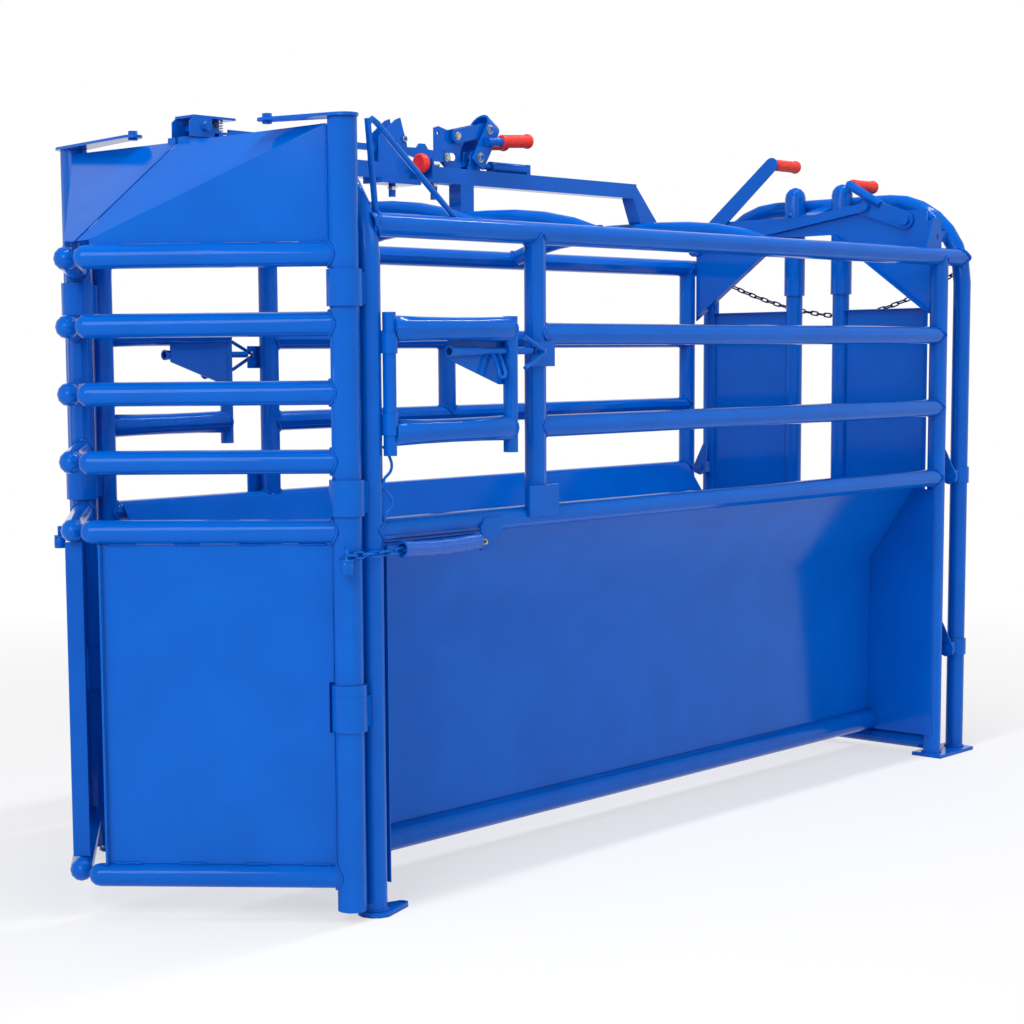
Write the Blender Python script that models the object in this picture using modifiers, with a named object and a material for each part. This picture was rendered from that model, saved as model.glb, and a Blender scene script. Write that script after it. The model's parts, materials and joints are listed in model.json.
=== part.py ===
# Roping chute: a steel frame of bent arches and side rails, with a split V front gate, two side
# doors, a split tail gate and an overhead release. Metres, +Z up.
# x runs from the front arch (0) to the rear, y is measured from the middle plane (near side minus),
# z from the ground. The empty "chute_origin" moves all of it so that the box's bottom centre is at 0.
import math

import bmesh
import bpy
from mathutils import Matrix, Vector

# Clearances
GAP = 0.0003                # between pieces that touch
RUN = 0.0006                # round a turning post or pin
SLIDE = 0.0012              # beside a sliding or swinging plate

# Tubes: sides of the round shapes, outer radius and wall
SIDES = 12
ARCH_RES = 6
BORE_RES = 2
RAIL_R = 0.02415
POST_R = 0.03015
HOOP_R = 0.0211
DOOR_HINGE_R = 0.014
DOOR_END_R = 0.016
WALL = 0.0029
PLATE = 0.005
SHEET = 0.003

# Frame
HALF_WIDTH = 0.428
REAR_ARCH_X = 2.361
REAR_POST_X = 2.2345
MIDDLE_POST_X = 0.510
ARCH_TOP_Z = 1.563
ARCH_BEND = 0.235
TOP_RAIL_Z = 1.3975
UPPER_RAIL_Z = 1.182
LOWER_RAIL_Z = 0.982
STRUT_X = 1.1525
GUARD_ROD_Z = 1.604
GUARD_ROD_R = 0.00635
SHEET_RAIL_Z = 0.788
HOOP_X = (0.333, 0.742, 1.420)
HOOP_RISE_Z = 1.456
HOOP_STEPS = 10
FOOT_T = 0.010
REAR_FOOT = (2.205, 2.390, 0.045)
FRONT_FOOT_R = 0.038
FRONT_LUG_X = 0.076
FRONT_LUG_R = 0.014
FOOT_BOLT_R = 0.007

# Side sheets
CREASE_IN = 0.190
CREASE_Z = 0.5555
SHEET_FRONT_X = 0.030
FLOOR_TUBE_X = 2.240
FLOOR_TUBE_Z = 0.037
BOTTOM_RAIL_END_X = 2.262
END_PLATE_Z = 0.062

# Front gates
GATE_POST_X = -0.067
GATE_ANGLE = math.radians(39.65)
TIP_GAP = 0.0082
GATE_LENGTH = (HALF_WIDTH - RAIL_R - TIP_GAP) / math.cos(GATE_ANGLE) + RAIL_R
GATE_RAIL_Z = (1.337, 1.201, 1.066, 0.930, 0.7915)
GATE_BOTTOM_Z = 0.091
GATE_POST_Z = (0.022, 1.600)
GATE_BAR_END = GATE_LENGTH - 0.038
COLLAR_R = 0.0365
COLLAR_Z = ((1.235, 1.307), (0.822, 0.894), (0.390, 0.462))
STOP_RING_H = 0.022
HOOD_TOP_Z = 1.589
HOOD_TIP_Z = 1.372
HOOD_LATCH_X = -0.1234
HOOD_SLIT = 0.004
ARM_T = 0.006
NEAR_ARM_REACH = 0.150
FAR_ARM_REACH = 0.285
LUG_Z = 0.749
LUG_BACK = -0.040
LUG_OUT = 0.037
LUG_R = 0.013
LUG_PIN_R = 0.005

# Spring sets
SPRING_Z = 0.7475
SLEEVE_X = (0.050, 0.280)
SLEEVE_R = 0.0175
SLEEVE_BORE = 0.011
SLEEVE_RIBS = 24
SLEEVE_RIB_H = 0.0014
CHAIN_R = 0.006
BRACKET_X = (0.300, 0.364)

# Side doors
DOOR_X = 0.0276
DOOR_OUT = 0.029
DOOR_Z = (0.938, 1.224)
DOOR_END_X = 0.3947
DOOR_END_Z = (0.9314, 1.2187)
KNUCKLE_Z = ((1.142, 1.183), (0.979, 1.022))
KNUCKLE_R = 0.0172
DOOR_RAIL_Z = (1.191, 0.9835)
DOOR_RAIL_PRESS = 1.12
BARREL_X = (0.229, 0.300)
BARREL_MOUTH = 0.203
BARREL_Z = 1.1455
BARREL_R = 0.0100
BOSS_X = (0.3775, 0.393)
BOLT_R = 0.0075
DOOR_BOLT_X = (0.222, 0.462)
BOLT_LOCK = 0.018
LOOP_X = 0.345
GUSSET_LOW = ((0.213, 1.129), (0.371, 1.0753))
STRIKER_X = (0.464, 0.5415)
STRIKER_Z = (1.112, 1.166)
WIRE_OUT = 0.0415
WIRE_NOSE = (0.4926, 1.1436)
WIRE_ENDS = ((0.425, 1.177), (0.427, 1.109))
WIRE_R = 0.0045

# Tail gate
TAIL_X = 2.290
TAIL_POST_Y = 0.0795
TAIL_POST_Z = 0.085
SLEEVE_Z = 1.305
TAIL_TOP_Z = 1.620
PANEL_OUT = 0.065
PANEL_Z = (0.100, 1.260)
PANEL_X = 2.2885
PANEL_FLANGE = 0.016
HEADER_X = 2.250
HEADER_T = 0.006
HEADER_Z = (1.474, 1.531)
HEADER_IN = 0.050
HEADER_POST_IN = RAIL_R + GAP
GUSSET_IN = 0.346
GUSSET_Z = 1.2375
HANGER_R = 0.0075
GUIDE_Z = (0.790, 0.300)
GUIDE_COLLAR_R = 0.0285
GUIDE_COLLAR_H = 0.046
GUIDE_FACE_X = 2.303

# Tail levers, as distances in from their own side's plane and heights
LEVER_T = 0.006
LEVER_HALF = 0.0245
LINK_HALF = 0.0125
LINK_PIN_R = 0.0065
HANDLE_R = 0.0125
HANDLE_START = 0.44
NEAR_PIVOT = (0.1126, 1.504)
NEAR_JOINT = (0.2380, 1.547)
NEAR_GRIP = (0.2960, 1.612)
FAR_PIVOT = (0.1010, 1.507)
FAR_JOINT = (0.0213, 1.4553)
FAR_GRIP = (0.2960, 1.6875)
PIVOT_R = 0.008
GRIP_R = 0.0165
GRIP_CORE_R = 0.0125
GRIP_LENGTH = 0.118
GRIP_OFFSET = 0.0145

# Overhead release
BEAM_X = (RAIL_R + GAP, 1.400)
BEAM_Z = (1.539, 1.576)
BEAM_HALF = 0.019
BEAM_POST_X = (0.723, 0.769)
CHEEK_Y = 0.017
CHEEK_X = (0.450, 0.545)
LEVER_PIVOT = (0.782, 1.6047)
LEVER_REACH = 0.1129
LEVER_TILT = math.radians(32.5)
LEVER_WIDTH = 0.044
LINK_JOINT = (LEVER_PIVOT[0] + 0.0340, LEVER_PIVOT[1] + 0.0683)
HANDLE_ROOT = (LEVER_PIVOT[0] + 0.0140, LEVER_PIVOT[1] + 0.0373)
HANDLE_RISE = 0.068
HANDLE_BARE = 0.0500
HANDLE_GRIP = 0.1045
PLATE_JOINT = (0.7156, 1.6515)
ROD_JOINT = (0.6840, 1.6010)
PULL_TRAVEL = 0.025
ROD_Z = 1.6080
ROD_T = 0.006
ROD_Y = -0.0065
NOSE_X = -0.033
NOSE_LOW_Z = 1.5950
NOSE_THIN_Z = 1.6003
NOSE_HIGH_Z = 1.6120
PLUNGER_R = 0.007
PLUNGER_Z = 1.5885
GUIDE_X = (0.848, 0.980)
GUIDE_R = 0.0125
LATCH_X = (-0.115, 0.030)
LATCH_Z = (1.5925, 1.632)
LATCH_HALF = 0.030
PAWL_PIVOT = (-0.072, 1.614)
PAWL_PIN_R = 0.006
CATCH_X = -0.038
CATCH_R = 0.005
CATCH_RISE = 0.0044
PAWL_TIP_X = 0.006
SPRING_AT = (-0.007, 0.0105)
SPRING_R = 0.0115
SPRING_WIRE = 0.0017
SPRING_TURNS = 4
KNOB_AT = (0.5496, -0.045, 1.577)
KNOB_R = 0.022
KNOB_LENGTH = 0.025
KNOB_PIN_R = 0.005
KNOB_BRACKET = 0.036

# Safety chain
CHAIN_X = 2.3785
CHAIN_END_Z = 1.360
CHAIN_LOW = (-0.042, 1.244)
CHAIN_TAIL_Z = 1.115

X_MIN = GATE_POST_X - (GATE_LENGTH - RAIL_R) * math.sin(GATE_ANGLE) - RAIL_R
X_MID = (X_MIN + REAR_FOOT[1]) / 2

for old in list(bpy.data.objects):
    bpy.data.objects.remove(old, do_unlink=True)

parts = bpy.data.collections.new("roping_chute")
cutters = bpy.data.collections.new("cutters")
bpy.context.scene.collection.children.link(parts)
bpy.context.scene.collection.children.link(cutters)


def paint(name, rgb, roughness, metallic):
    mat = bpy.data.materials.new(name)
    mat.use_nodes = True
    shader = mat.node_tree.nodes["Principled BSDF"]
    shader.inputs["Base Color"].default_value = (*rgb, 1.0)
    shader.inputs["Roughness"].default_value = roughness
    shader.inputs["Metallic"].default_value = metallic
    return mat


BLUE = paint("blue_powder_coat", (0.0, 0.105, 0.50), 0.32, 0.0)
RED = paint("red_grip_vinyl", (0.75, 0.02, 0.02), 0.42, 0.0)
ZINC = paint("zinc_plate", (0.62, 0.62, 0.60), 0.34, 1.0)
RUBBER = paint("black_hose", (0.03, 0.03, 0.035), 0.55, 0.0)
CHAIN = paint("dark_chain", (0.05, 0.055, 0.09), 0.45, 0.8)

origin = bpy.data.objects.new("chute_origin", None)
origin.location = (-X_MID, 0.0, 0.0)
bpy.context.scene.collection.objects.link(origin)


def pivot(name, place):
    empty = bpy.data.objects.new(name, None)
    empty.parent = origin
    empty.location = place
    bpy.context.scene.collection.objects.link(empty)
    return empty


def add(name, mesh, matrix=None):
    """A loose shape: it becomes a part with keep(), or is joined to one or cut from one."""
    obj = bpy.data.objects.new(name, mesh)
    obj.parent = origin
    obj.matrix_local = matrix or Matrix.Identity(4)
    cutters.objects.link(obj)
    obj.hide_render = True
    obj.display_type = "WIRE"
    return obj


def keep(obj, name, mat, joint=None):
    obj.name = name
    cutters.objects.unlink(obj)
    parts.objects.link(obj)
    obj.hide_render = False
    obj.display_type = "TEXTURED"
    obj.data.materials.clear()
    obj.data.materials.append(mat)
    obj.data.shade_smooth()
    obj.data.set_sharp_from_angle(angle=math.radians(35))
    if joint:
        obj.parent = joint
        obj.location = obj.location - joint.location
    return obj


def boolean(obj, tool, operation):
    mod = obj.modifiers.new(operation.lower() + "_" + tool.name, "BOOLEAN")
    mod.operation = operation
    mod.object = tool
    return obj


def join(obj, *tools):
    for tool in tools:
        boolean(obj, tool, "UNION")
    return obj


def cut(obj, *tools):
    for tool in tools:
        boolean(obj, tool, "DIFFERENCE")
    return obj


def aimed(start, end):
    """A matrix at the middle of a line, with its Z along the line."""
    start, end = Vector(start), Vector(end)
    turn = (end - start).to_track_quat("Z", "Y")
    return Matrix.Translation((start + end) / 2) @ turn.to_matrix().to_4x4()


def rod(start, end, radius, sides=SIDES, name="rod", capped=True):
    bm = bmesh.new()
    length = (Vector(end) - Vector(start)).length
    bmesh.ops.create_cone(bm, cap_ends=capped, segments=sides, radius1=radius, radius2=radius, depth=length)
    mesh = bpy.data.meshes.new(name)
    bm.to_mesh(mesh)
    bm.free()
    return add(name, mesh, aimed(start, end))


def pipe(start, end, radius, name="pipe", sides=SIDES, wall=WALL):
    """A hollow tube, open at both ends."""
    obj = rod(start, end, radius, sides, name, capped=False)
    thicken(obj, wall)
    return obj


def turning(start, end, radius, play=RUN, sides=SIDES, name="turning"):
    """A cutter for what turns in it, or round it: its flats keep the play at every angle."""
    obj = rod(start, end, (radius + play) / math.cos(math.pi / sides), sides, name)
    obj.data.transform(Matrix.Rotation(math.pi / sides, 4, "Z"))
    return obj


def thicken(obj, wall, offset=-1.0):
    mod = obj.modifiers.new("wall", "SOLIDIFY")
    mod.thickness = wall
    mod.offset = offset
    mod.use_even_offset = True


def clear(radius, sides=SIDES):
    """The radius of a cutter whose flats stay a gap outside a round with the same sides."""
    return radius + GAP / math.cos(math.pi / sides)


def domed(start, end, radius, name="domed", steps=3):
    """A solid round bar whose far end is a half ball."""
    start, end = Vector(start), Vector(end)
    along = (end - start).normalized()
    points, radii = [tuple(start)], [1.0]
    for i in range(steps + 1):
        a = math.radians(82) * i / steps
        points.append(tuple(end + along * (radius * math.sin(a))))
        radii.append(math.cos(a))
    return bent(points, radius, name, 4, radii=radii)


def box(low, high, name="box", turn=None):
    """A box between two corners, turned about its own middle where a matrix is given."""
    low, high = Vector(low), Vector(high)
    bm = bmesh.new()
    bmesh.ops.create_cube(bm, size=1.0)
    bmesh.ops.scale(bm, vec=high - low, verts=bm.verts)
    mesh = bpy.data.meshes.new(name)
    bm.to_mesh(mesh)
    bm.free()
    place = Matrix.Translation((low + high) / 2)
    return add(name, mesh, place @ turn if turn else place)


def evaluated_mesh(curve_obj, weld=1e-5):
    graph = bpy.context.evaluated_depsgraph_get()
    mesh = bpy.data.meshes.new_from_object(curve_obj.evaluated_get(graph))
    bm = bmesh.new()
    bm.from_mesh(mesh)
    bmesh.ops.remove_doubles(bm, verts=bm.verts, dist=weld)
    bmesh.ops.recalc_face_normals(bm, faces=bm.faces)
    bm.to_mesh(mesh)
    bm.free()
    data = curve_obj.data
    bpy.data.objects.remove(curve_obj)
    bpy.data.curves.remove(data)
    return mesh


def bent(points, radius, name="bent", resolution=4, capped=True, radii=None):
    """A round bar along points, as a mesh that can be cut and joined."""
    data = bpy.data.curves.new(name, "CURVE")
    data.dimensions = "3D"
    data.bevel_depth = radius
    data.bevel_resolution = resolution
    data.use_fill_caps = capped
    data.twist_mode = "MINIMUM"
    spline = data.splines.new("POLY")
    spline.points.add(len(points) - 1)
    for i, place in enumerate(points):
        spline.points[i].co = (*place, 1.0)
        if radii:
            spline.points[i].radius = radii[i]
    obj = bpy.data.objects.new(name, data)
    bpy.context.scene.collection.objects.link(obj)
    return add(name, evaluated_mesh(obj))


def flat(outline, thickness, matrix, name="flat", holes=()):
    """A plate from a 2D outline, with its middle plane on the matrix's XY plane."""
    data = bpy.data.curves.new(name, "CURVE")
    data.dimensions = "2D"
    data.fill_mode = "BOTH"
    data.extrude = thickness / 2
    for ring in (outline, *holes):
        spline = data.splines.new("POLY")
        spline.points.add(len(ring) - 1)
        for point, (u, v) in zip(spline.points, ring):
            point.co = (u, v, 0.0, 1.0)
        spline.use_cyclic_u = True
    obj = bpy.data.objects.new(name, data)
    bpy.context.scene.collection.objects.link(obj)
    return add(name, evaluated_mesh(obj), matrix)


def facing_x(x):
    """Outline (y, z) on the plane at x."""
    return Matrix(((0, 0, 1, x), (1, 0, 0, 0), (0, 1, 0, 0), (0, 0, 0, 1)))


def facing_y(y):
    """Outline (x, z) on the plane at y."""
    return Matrix(((1, 0, 0, 0), (0, 0, -1, y), (0, 1, 0, 0), (0, 0, 0, 1)))


def facing_z(z):
    return Matrix.Translation((0, 0, z))


def plate_through(corners, thickness, name="plate"):
    """A flat plate whose middle plane holds these 3D corners."""
    corners = [Vector(c) for c in corners]
    u = (corners[1] - corners[0]).normalized()
    normal = u.cross(corners[2] - corners[0]).normalized()
    v = normal.cross(u)
    matrix = Matrix.Translation(corners[0]) @ Matrix((u, v, normal)).transposed().to_4x4()
    outline = [((c - corners[0]).dot(u), (c - corners[0]).dot(v)) for c in corners]
    return flat(outline, thickness, matrix, name)


def arc(centre, radius, start, end, steps):
    angles = [math.radians(start + (end - start) * i / steps) for i in range(steps + 1)]
    return [(centre[0] + radius * math.cos(a), centre[1] + radius * math.sin(a)) for a in angles]


def circle(centre, radius, steps=16):
    return arc(centre, radius, 0, 360, steps)[:-1]


def stadium(p, q, half, end_half=None, steps=6):
    """A bar outline with round ends at two points."""
    other = end_half or half
    along = math.degrees(math.atan2(q[1] - p[1], q[0] - p[0]))
    return arc(q, other, along - 90, along + 90, steps) + arc(p, half, along + 90, along + 270, steps)


def side_point(side, x, inward, z):
    """A point on the near (-1) or far (1) side, by its distance in from the side's plane."""
    return (x, side * (HALF_WIDTH - inward), z)


def across(side, inward):
    """y of a distance in from one side's plane."""
    return side * (HALF_WIDTH - inward)


def arch_path(x, foot_z, steps=7):
    """From foot to foot: straight legs, round corners and a level top."""
    bend_z = ARCH_TOP_Z - ARCH_BEND
    inner = HALF_WIDTH - ARCH_BEND
    left = [(x, y, z) for y, z in arc((-inner, bend_z), ARCH_BEND, 180, 90, steps)]
    right = [(x, y, z) for y, z in arc((inner, bend_z), ARCH_BEND, 90, 0, steps)]
    return [(x, -HALF_WIDTH, foot_z)] + left + right + [(x, HALF_WIDTH, foot_z)]


def ring_on_post(x, y, z_low, z_high, outer, name="ring"):
    return rod((x, y, z_low), (x, y, z_high), outer, SIDES, name)


def build_front_arch():
    """The front arch, with the gate collars and its two foot plates welded on."""
    arch = bent(arch_path(0.0, FOOT_T / 2), RAIL_R, "front_arch", ARCH_RES)
    for side in (-1, 1):
        y = side * HALF_WIDTH
        for low, high in COLLAR_Z:
            web = box((GATE_POST_X + 0.01, y - 0.013, low + 0.004), (-RAIL_R + 0.004, y + 0.013, high - 0.004))
            join(arch, ring_on_post(GATE_POST_X, y, low, high, COLLAR_R), web)
        hinge_y = side * (HALF_WIDTH + DOOR_OUT)
        for low, high in KNUCKLE_Z:
            strap_y = side * (HALF_WIDTH + 0.012)
            strap = box((0.006, strap_y - 0.009, low + 0.002), (DOOR_X - 0.006, strap_y + 0.009, high - 0.002))
            join(arch, ring_on_post(DOOR_X, hinge_y, low, high, KNUCKLE_R, "knuckle"), strap)
        cut(arch, turning((DOOR_X, hinge_y, 0.9), (DOOR_X, hinge_y, 1.26), DOOR_HINGE_R))
        cut(arch, turning((GATE_POST_X, y, 0.2), (GATE_POST_X, y, 1.5), POST_R))
        outline = stadium((0.0, y), (FRONT_LUG_X, y), FRONT_FOOT_R, FRONT_LUG_R)
        hole = circle((FRONT_LUG_X, y), FOOT_BOLT_R, 24)
        foot = flat(outline, FOOT_T, facing_z(FOOT_T / 2), "front_foot", [hole])
        join(arch, foot)
    cut(arch, bent(arch_path(0.0, -0.01), RAIL_R - WALL, "arch_bore", BORE_RES))
    keep(arch, "front_arch", BLUE)


def build_rear_arch():
    """The rear arch, with the guide lugs that the tail gate's halves slide past."""
    arch = bent(arch_path(REAR_ARCH_X, FOOT_T + GAP), RAIL_R, "rear_arch", ARCH_RES)
    for side in (-1, 1):
        y = side * HALF_WIDTH
        for z in GUIDE_Z:
            half = GUIDE_COLLAR_H / 2
            collar = ring_on_post(REAR_ARCH_X, y, z - half, z + half, GUIDE_COLLAR_R, "guide_collar")
            low = (GUIDE_FACE_X + 0.002, y - 0.014, z - 0.016)
            block = box(low, (REAR_ARCH_X - RAIL_R + 0.0015, y + 0.014, z + 0.016))
            shape = [(-0.025, 0.0), (-0.021, -0.017), (0.0, -0.025), (0.021, -0.017), (0.024, 0.072), (0.012, 0.072)]
            outline = [(y - side * out, z + up) for out, up in shape]
            lug = flat(outline, PLATE, facing_x(GUIDE_FACE_X + PLATE / 2), "guide_lug")
            head = rod((GUIDE_FACE_X - 0.006, y, z), (GUIDE_FACE_X + 0.004, y, z), 0.0105, 12, "guide_bolt")
            join(arch, collar, block, lug, head)
    cut(arch, bent(arch_path(REAR_ARCH_X, -0.01), RAIL_R - WALL, "arch_bore", BORE_RES))
    keep(arch, "rear_arch", BLUE)


def arch_clearance(x):
    return bent(arch_path(x, 0.0), clear(RAIL_R, 2 * ARCH_RES + 4), "arch_clearance", ARCH_RES)


def build_side(side, word, front_clear, rear_clear):
    y = side * HALF_WIDTH

    def clear_rod(x0, z0, x1, z1, radius=RAIL_R):
        return rod((x0, y, z0), (x1, y, z1), clear(radius), SIDES, "clearance")

    # Posts
    top_clear = clear_rod(-0.1, TOP_RAIL_Z, REAR_ARCH_X + 0.1, TOP_RAIL_Z)
    sheet_clear = clear_rod(-0.1, SHEET_RAIL_Z, REAR_ARCH_X + 0.1, SHEET_RAIL_Z)
    middle_clear = clear_rod(MIDDLE_POST_X, 0.5, MIDDLE_POST_X, 1.6)
    rear_clear_rod = clear_rod(REAR_POST_X, -0.1, REAR_POST_X, 1.6)

    rear_post = pipe((REAR_POST_X, y, FOOT_T / 2), (REAR_POST_X, y, TOP_RAIL_Z), RAIL_R)
    cut(rear_post, top_clear)
    x_low, x_high, half = REAR_FOOT
    foot = box((x_low, y - half, 0.0), (x_high, y + half, FOOT_T), "rear_foot")
    join(rear_post, foot)
    keep(rear_post, word + "_rear_post", BLUE)

    post = pipe((MIDDLE_POST_X, y, SHEET_RAIL_Z), (MIDDLE_POST_X, y, TOP_RAIL_Z), RAIL_R)
    cut(post, top_clear, sheet_clear)
    out = side
    face = y + out * (RAIL_R + GAP)
    lap = [(MIDDLE_POST_X - 0.053, 0.789), (MIDDLE_POST_X + 0.045, 0.787), (MIDDLE_POST_X + 0.045, 0.856),
           (MIDDLE_POST_X - 0.053, 0.856)]
    bracket = flat(lap, PLATE, facing_y(face + out * PLATE / 2), "post_bracket")
    weld = box((MIDDLE_POST_X - 0.012, y + out * (RAIL_R - 0.004), 0.828),
               (MIDDLE_POST_X + 0.012, y + out * (RAIL_R + 0.002), 0.850))
    striker_y = face + out * PLATE / 2
    (x0, x1), (z0, z1) = STRIKER_X, STRIKER_Z
    striker = flat([(x0, z0), (x1, z0), (x1, z1), (x0, z1)], PLATE, facing_y(striker_y), "striker")
    striker_weld = box((MIDDLE_POST_X - 0.012, y + out * (RAIL_R - 0.004), z0 + 0.012),
                       (MIDDLE_POST_X + 0.012, y + out * (RAIL_R + 0.002), z1 - 0.010))
    join(post, weld, bracket, striker_weld, striker)
    # Bent wire that the bolt slides behind
    wire_y = y + out * WIRE_OUT
    (nose_x, nose_z), (upper, lower) = WIRE_NOSE, WIRE_ENDS
    shape = [upper, (nose_x - 0.010, nose_z + 0.0065), WIRE_NOSE, (nose_x - 0.010, nose_z - 0.0065), lower]
    wire = bent([(x, wire_y, z) for x, z in shape], WIRE_R, "striker_wire", 2)
    tie_y = sorted((striker_y, wire_y - out * 0.0008))
    tie = box((nose_x - 0.006, tie_y[0], nose_z - 0.005), (nose_x + 0.008, tie_y[1], nose_z + 0.005), "wire_tie")
    join(post, wire, tie)
    bolt_y = y + out * DOOR_OUT
    cut(post, rod((x0 - 0.02, bolt_y, BARREL_Z), (DOOR_BOLT_X[1] + BOLT_LOCK + SLIDE, bolt_y, BARREL_Z),
                  BOLT_R + RUN))
    keep(post, word + "_middle_post", BLUE)

    # Rails
    top = pipe((0.0, y, TOP_RAIL_Z), (REAR_ARCH_X, y, TOP_RAIL_Z), RAIL_R)
    cut(top, front_clear, rear_clear)
    if side < 0:
        rod_y, foot_z = y + 0.004, TOP_RAIL_Z + RAIL_R - 0.003
        short = bent([(0.027, rod_y, foot_z), (0.007, rod_y, GUARD_ROD_Z)], GUARD_ROD_R, "guard_rod", 2)
        long_rod = bent([(0.262, rod_y, foot_z), (0.034, rod_y, GUARD_ROD_Z - 0.008), (0.020, rod_y, GUARD_ROD_Z),
                         (0.008, rod_y, GUARD_ROD_Z - 0.010)], GUARD_ROD_R, "guard_rod_long", 2)
        lug_shape = [(2.160, TOP_RAIL_Z + 0.020), (2.240, TOP_RAIL_Z + 0.020), (2.236, 1.501), (2.196, 1.501)]
        lug = flat(lug_shape, PLATE, facing_y(y), "rail_lug", [circle((2.216, 1.451), 0.007, 12)])
        join(top, short, long_rod, lug)
    keep(top, word + "_top_rail", BLUE)

    for name, z in (("_upper_rail", UPPER_RAIL_Z), ("_lower_rail", LOWER_RAIL_Z)):
        rail = pipe((MIDDLE_POST_X, y, z), (REAR_POST_X, y, z), RAIL_R)
        if side > 0 and z == UPPER_RAIL_Z:
            strut = pipe((STRUT_X, y, z - RAIL_R + 0.0015), (STRUT_X, y, LOWER_RAIL_Z), RAIL_R, "strut")
            cut(strut, clear_rod(0.0, LOWER_RAIL_Z, REAR_ARCH_X, LOWER_RAIL_Z))
            join(rail, strut)
        cut(rail, middle_clear, rear_clear_rod)
        keep(rail, word + name, BLUE)

    # Sheet rail, with the bracket that the gate's spring hooks into
    rail = pipe((0.0, y, SHEET_RAIL_Z), (REAR_POST_X, y, SHEET_RAIL_Z), RAIL_R)
    cut(rail, front_clear, rear_clear_rod)
    spring_y = y + side * LUG_OUT
    face_y = y + side * (RAIL_R + PLATE / 2 - 0.001)
    x0, x1 = BRACKET_X
    ear = flat([(x0, SPRING_Z - 0.020), (x0 + 0.020, SPRING_Z - 0.020), (x1, SHEET_RAIL_Z - 0.022),
                (x1, SHEET_RAIL_Z + 0.006), (x0 + 0.012, SHEET_RAIL_Z + 0.006), (x0, SHEET_RAIL_Z - 0.010)],
               PLATE, facing_y(face_y), "spring_ear", [circle((x0 + 0.012, SPRING_Z - 0.006), 0.0045, 10)])
    hook = box((SLEEVE_X[1] + GAP, spring_y - 0.003, SPRING_Z - 0.0145),
               (x0 + 0.006, spring_y + 0.003, SPRING_Z + 0.0145), "hook")
    step = box((x0, min(face_y, spring_y + side * 0.003), SPRING_Z - 0.004),
               (x0 + 0.006, max(face_y, spring_y + side * 0.003), SPRING_Z + 0.004), "hook_step")
    join(rail, ear, hook, step)
    keep(rail, word + "_sheet_rail", BLUE)

    # Bottom rail, on the floor tube at the rear
    bottom_z = FLOOR_TUBE_Z + HOOP_R + GAP + POST_R
    start = side_point(side, SHEET_FRONT_X + 0.006, CREASE_IN, bottom_z)
    end = side_point(side, BOTTOM_RAIL_END_X, CREASE_IN, bottom_z)
    keep(pipe(start, end, POST_R), word + "_bottom_rail", BLUE)

    # Folded sheet with its two end plates
    def at(inward, z):
        return (side * (HALF_WIDTH - inward), z)

    # The slope runs from the crease to a tangent on the sheet rail's inner side
    half_t = SHEET / 2
    lift = RAIL_R + GAP + half_t
    reach = math.hypot(CREASE_IN, SHEET_RAIL_Z - CREASE_Z)
    slope = math.atan2(SHEET_RAIL_Z - CREASE_Z, -CREASE_IN) - math.asin(lift / reach)
    run = math.sqrt(reach ** 2 - lift ** 2)
    top_in, top_z = CREASE_IN + run * math.cos(slope), CREASE_Z + run * math.sin(slope)
    low_z = bottom_z + POST_R - SHEET
    nudge = half_t * math.tan((slope - math.pi / 2) / 2)
    profile = [(top_in + half_t * math.sin(slope), top_z - half_t * math.cos(slope)),
               (CREASE_IN + half_t, CREASE_Z + nudge), (CREASE_IN + half_t, low_z),
               (CREASE_IN - half_t, low_z), (CREASE_IN - half_t, CREASE_Z - nudge),
               (top_in - half_t * math.sin(slope), top_z + half_t * math.cos(slope))]
    sheet_end = REAR_POST_X - RAIL_R - GAP
    middle = (SHEET_FRONT_X + sheet_end) / 2
    sheet = flat([at(*p) for p in profile], sheet_end - SHEET_FRONT_X, facing_x(middle), "sheet")
    plate_in = 0.040
    plate_top = CREASE_Z + (plate_in - CREASE_IN) * math.tan(slope)
    corner = [(-0.012, END_PLATE_Z), (CREASE_IN, END_PLATE_Z), (CREASE_IN, CREASE_Z), (plate_in, plate_top),
              (0.018, 0.7560), (-0.012, 0.7560)]
    rail_gap = rod(side_point(side, -0.1, CREASE_IN, bottom_z), side_point(side, 2.5, CREASE_IN, bottom_z),
                   clear(POST_R))
    for x in (SHEET_FRONT_X + SHEET, sheet_end - SHEET):
        join(sheet, flat([at(*p) for p in corner], SHEET, facing_x(x), "end_plate"))
    cut(sheet, rail_gap, middle_clear)
    keep(sheet, word + "_side_sheet", BLUE)


def build_hoops():
    """Shallow bowed cross tubes whose ends land on the top rails."""
    for name, x in zip(("front_hoop", "middle_hoop", "rear_hoop"), HOOP_X):
        points = []
        for i in range(HOOP_STEPS + 1):
            t = -1 + 2 * i / HOOP_STEPS
            points.append((x, t * HALF_WIDTH, TOP_RAIL_Z + (HOOP_RISE_Z - TOP_RAIL_Z) * (1 - abs(t) ** 3)))
        hoop = bent(points, HOOP_R, name, 4)
        for side in (-1, 1):
            y = side * HALF_WIDTH
            cut(hoop, rod((x - 0.1, y, TOP_RAIL_Z), (x + 0.1, y, TOP_RAIL_Z), clear(RAIL_R)))
        cut(hoop, bent(points, HOOP_R - WALL, "hoop_bore", BORE_RES))
        keep(hoop, name, BLUE)


def build_floor_tube():
    tube = pipe((FLOOR_TUBE_X, -HALF_WIDTH, FLOOR_TUBE_Z), (FLOOR_TUBE_X, HALF_WIDTH, FLOOR_TUBE_Z), HOOP_R)
    for side in (-1, 1):
        y = side * HALF_WIDTH
        cut(tube, rod((REAR_POST_X, y, -0.1), (REAR_POST_X, y, 0.3), clear(RAIL_R)))
    keep(tube, "floor_tube", BLUE)


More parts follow.
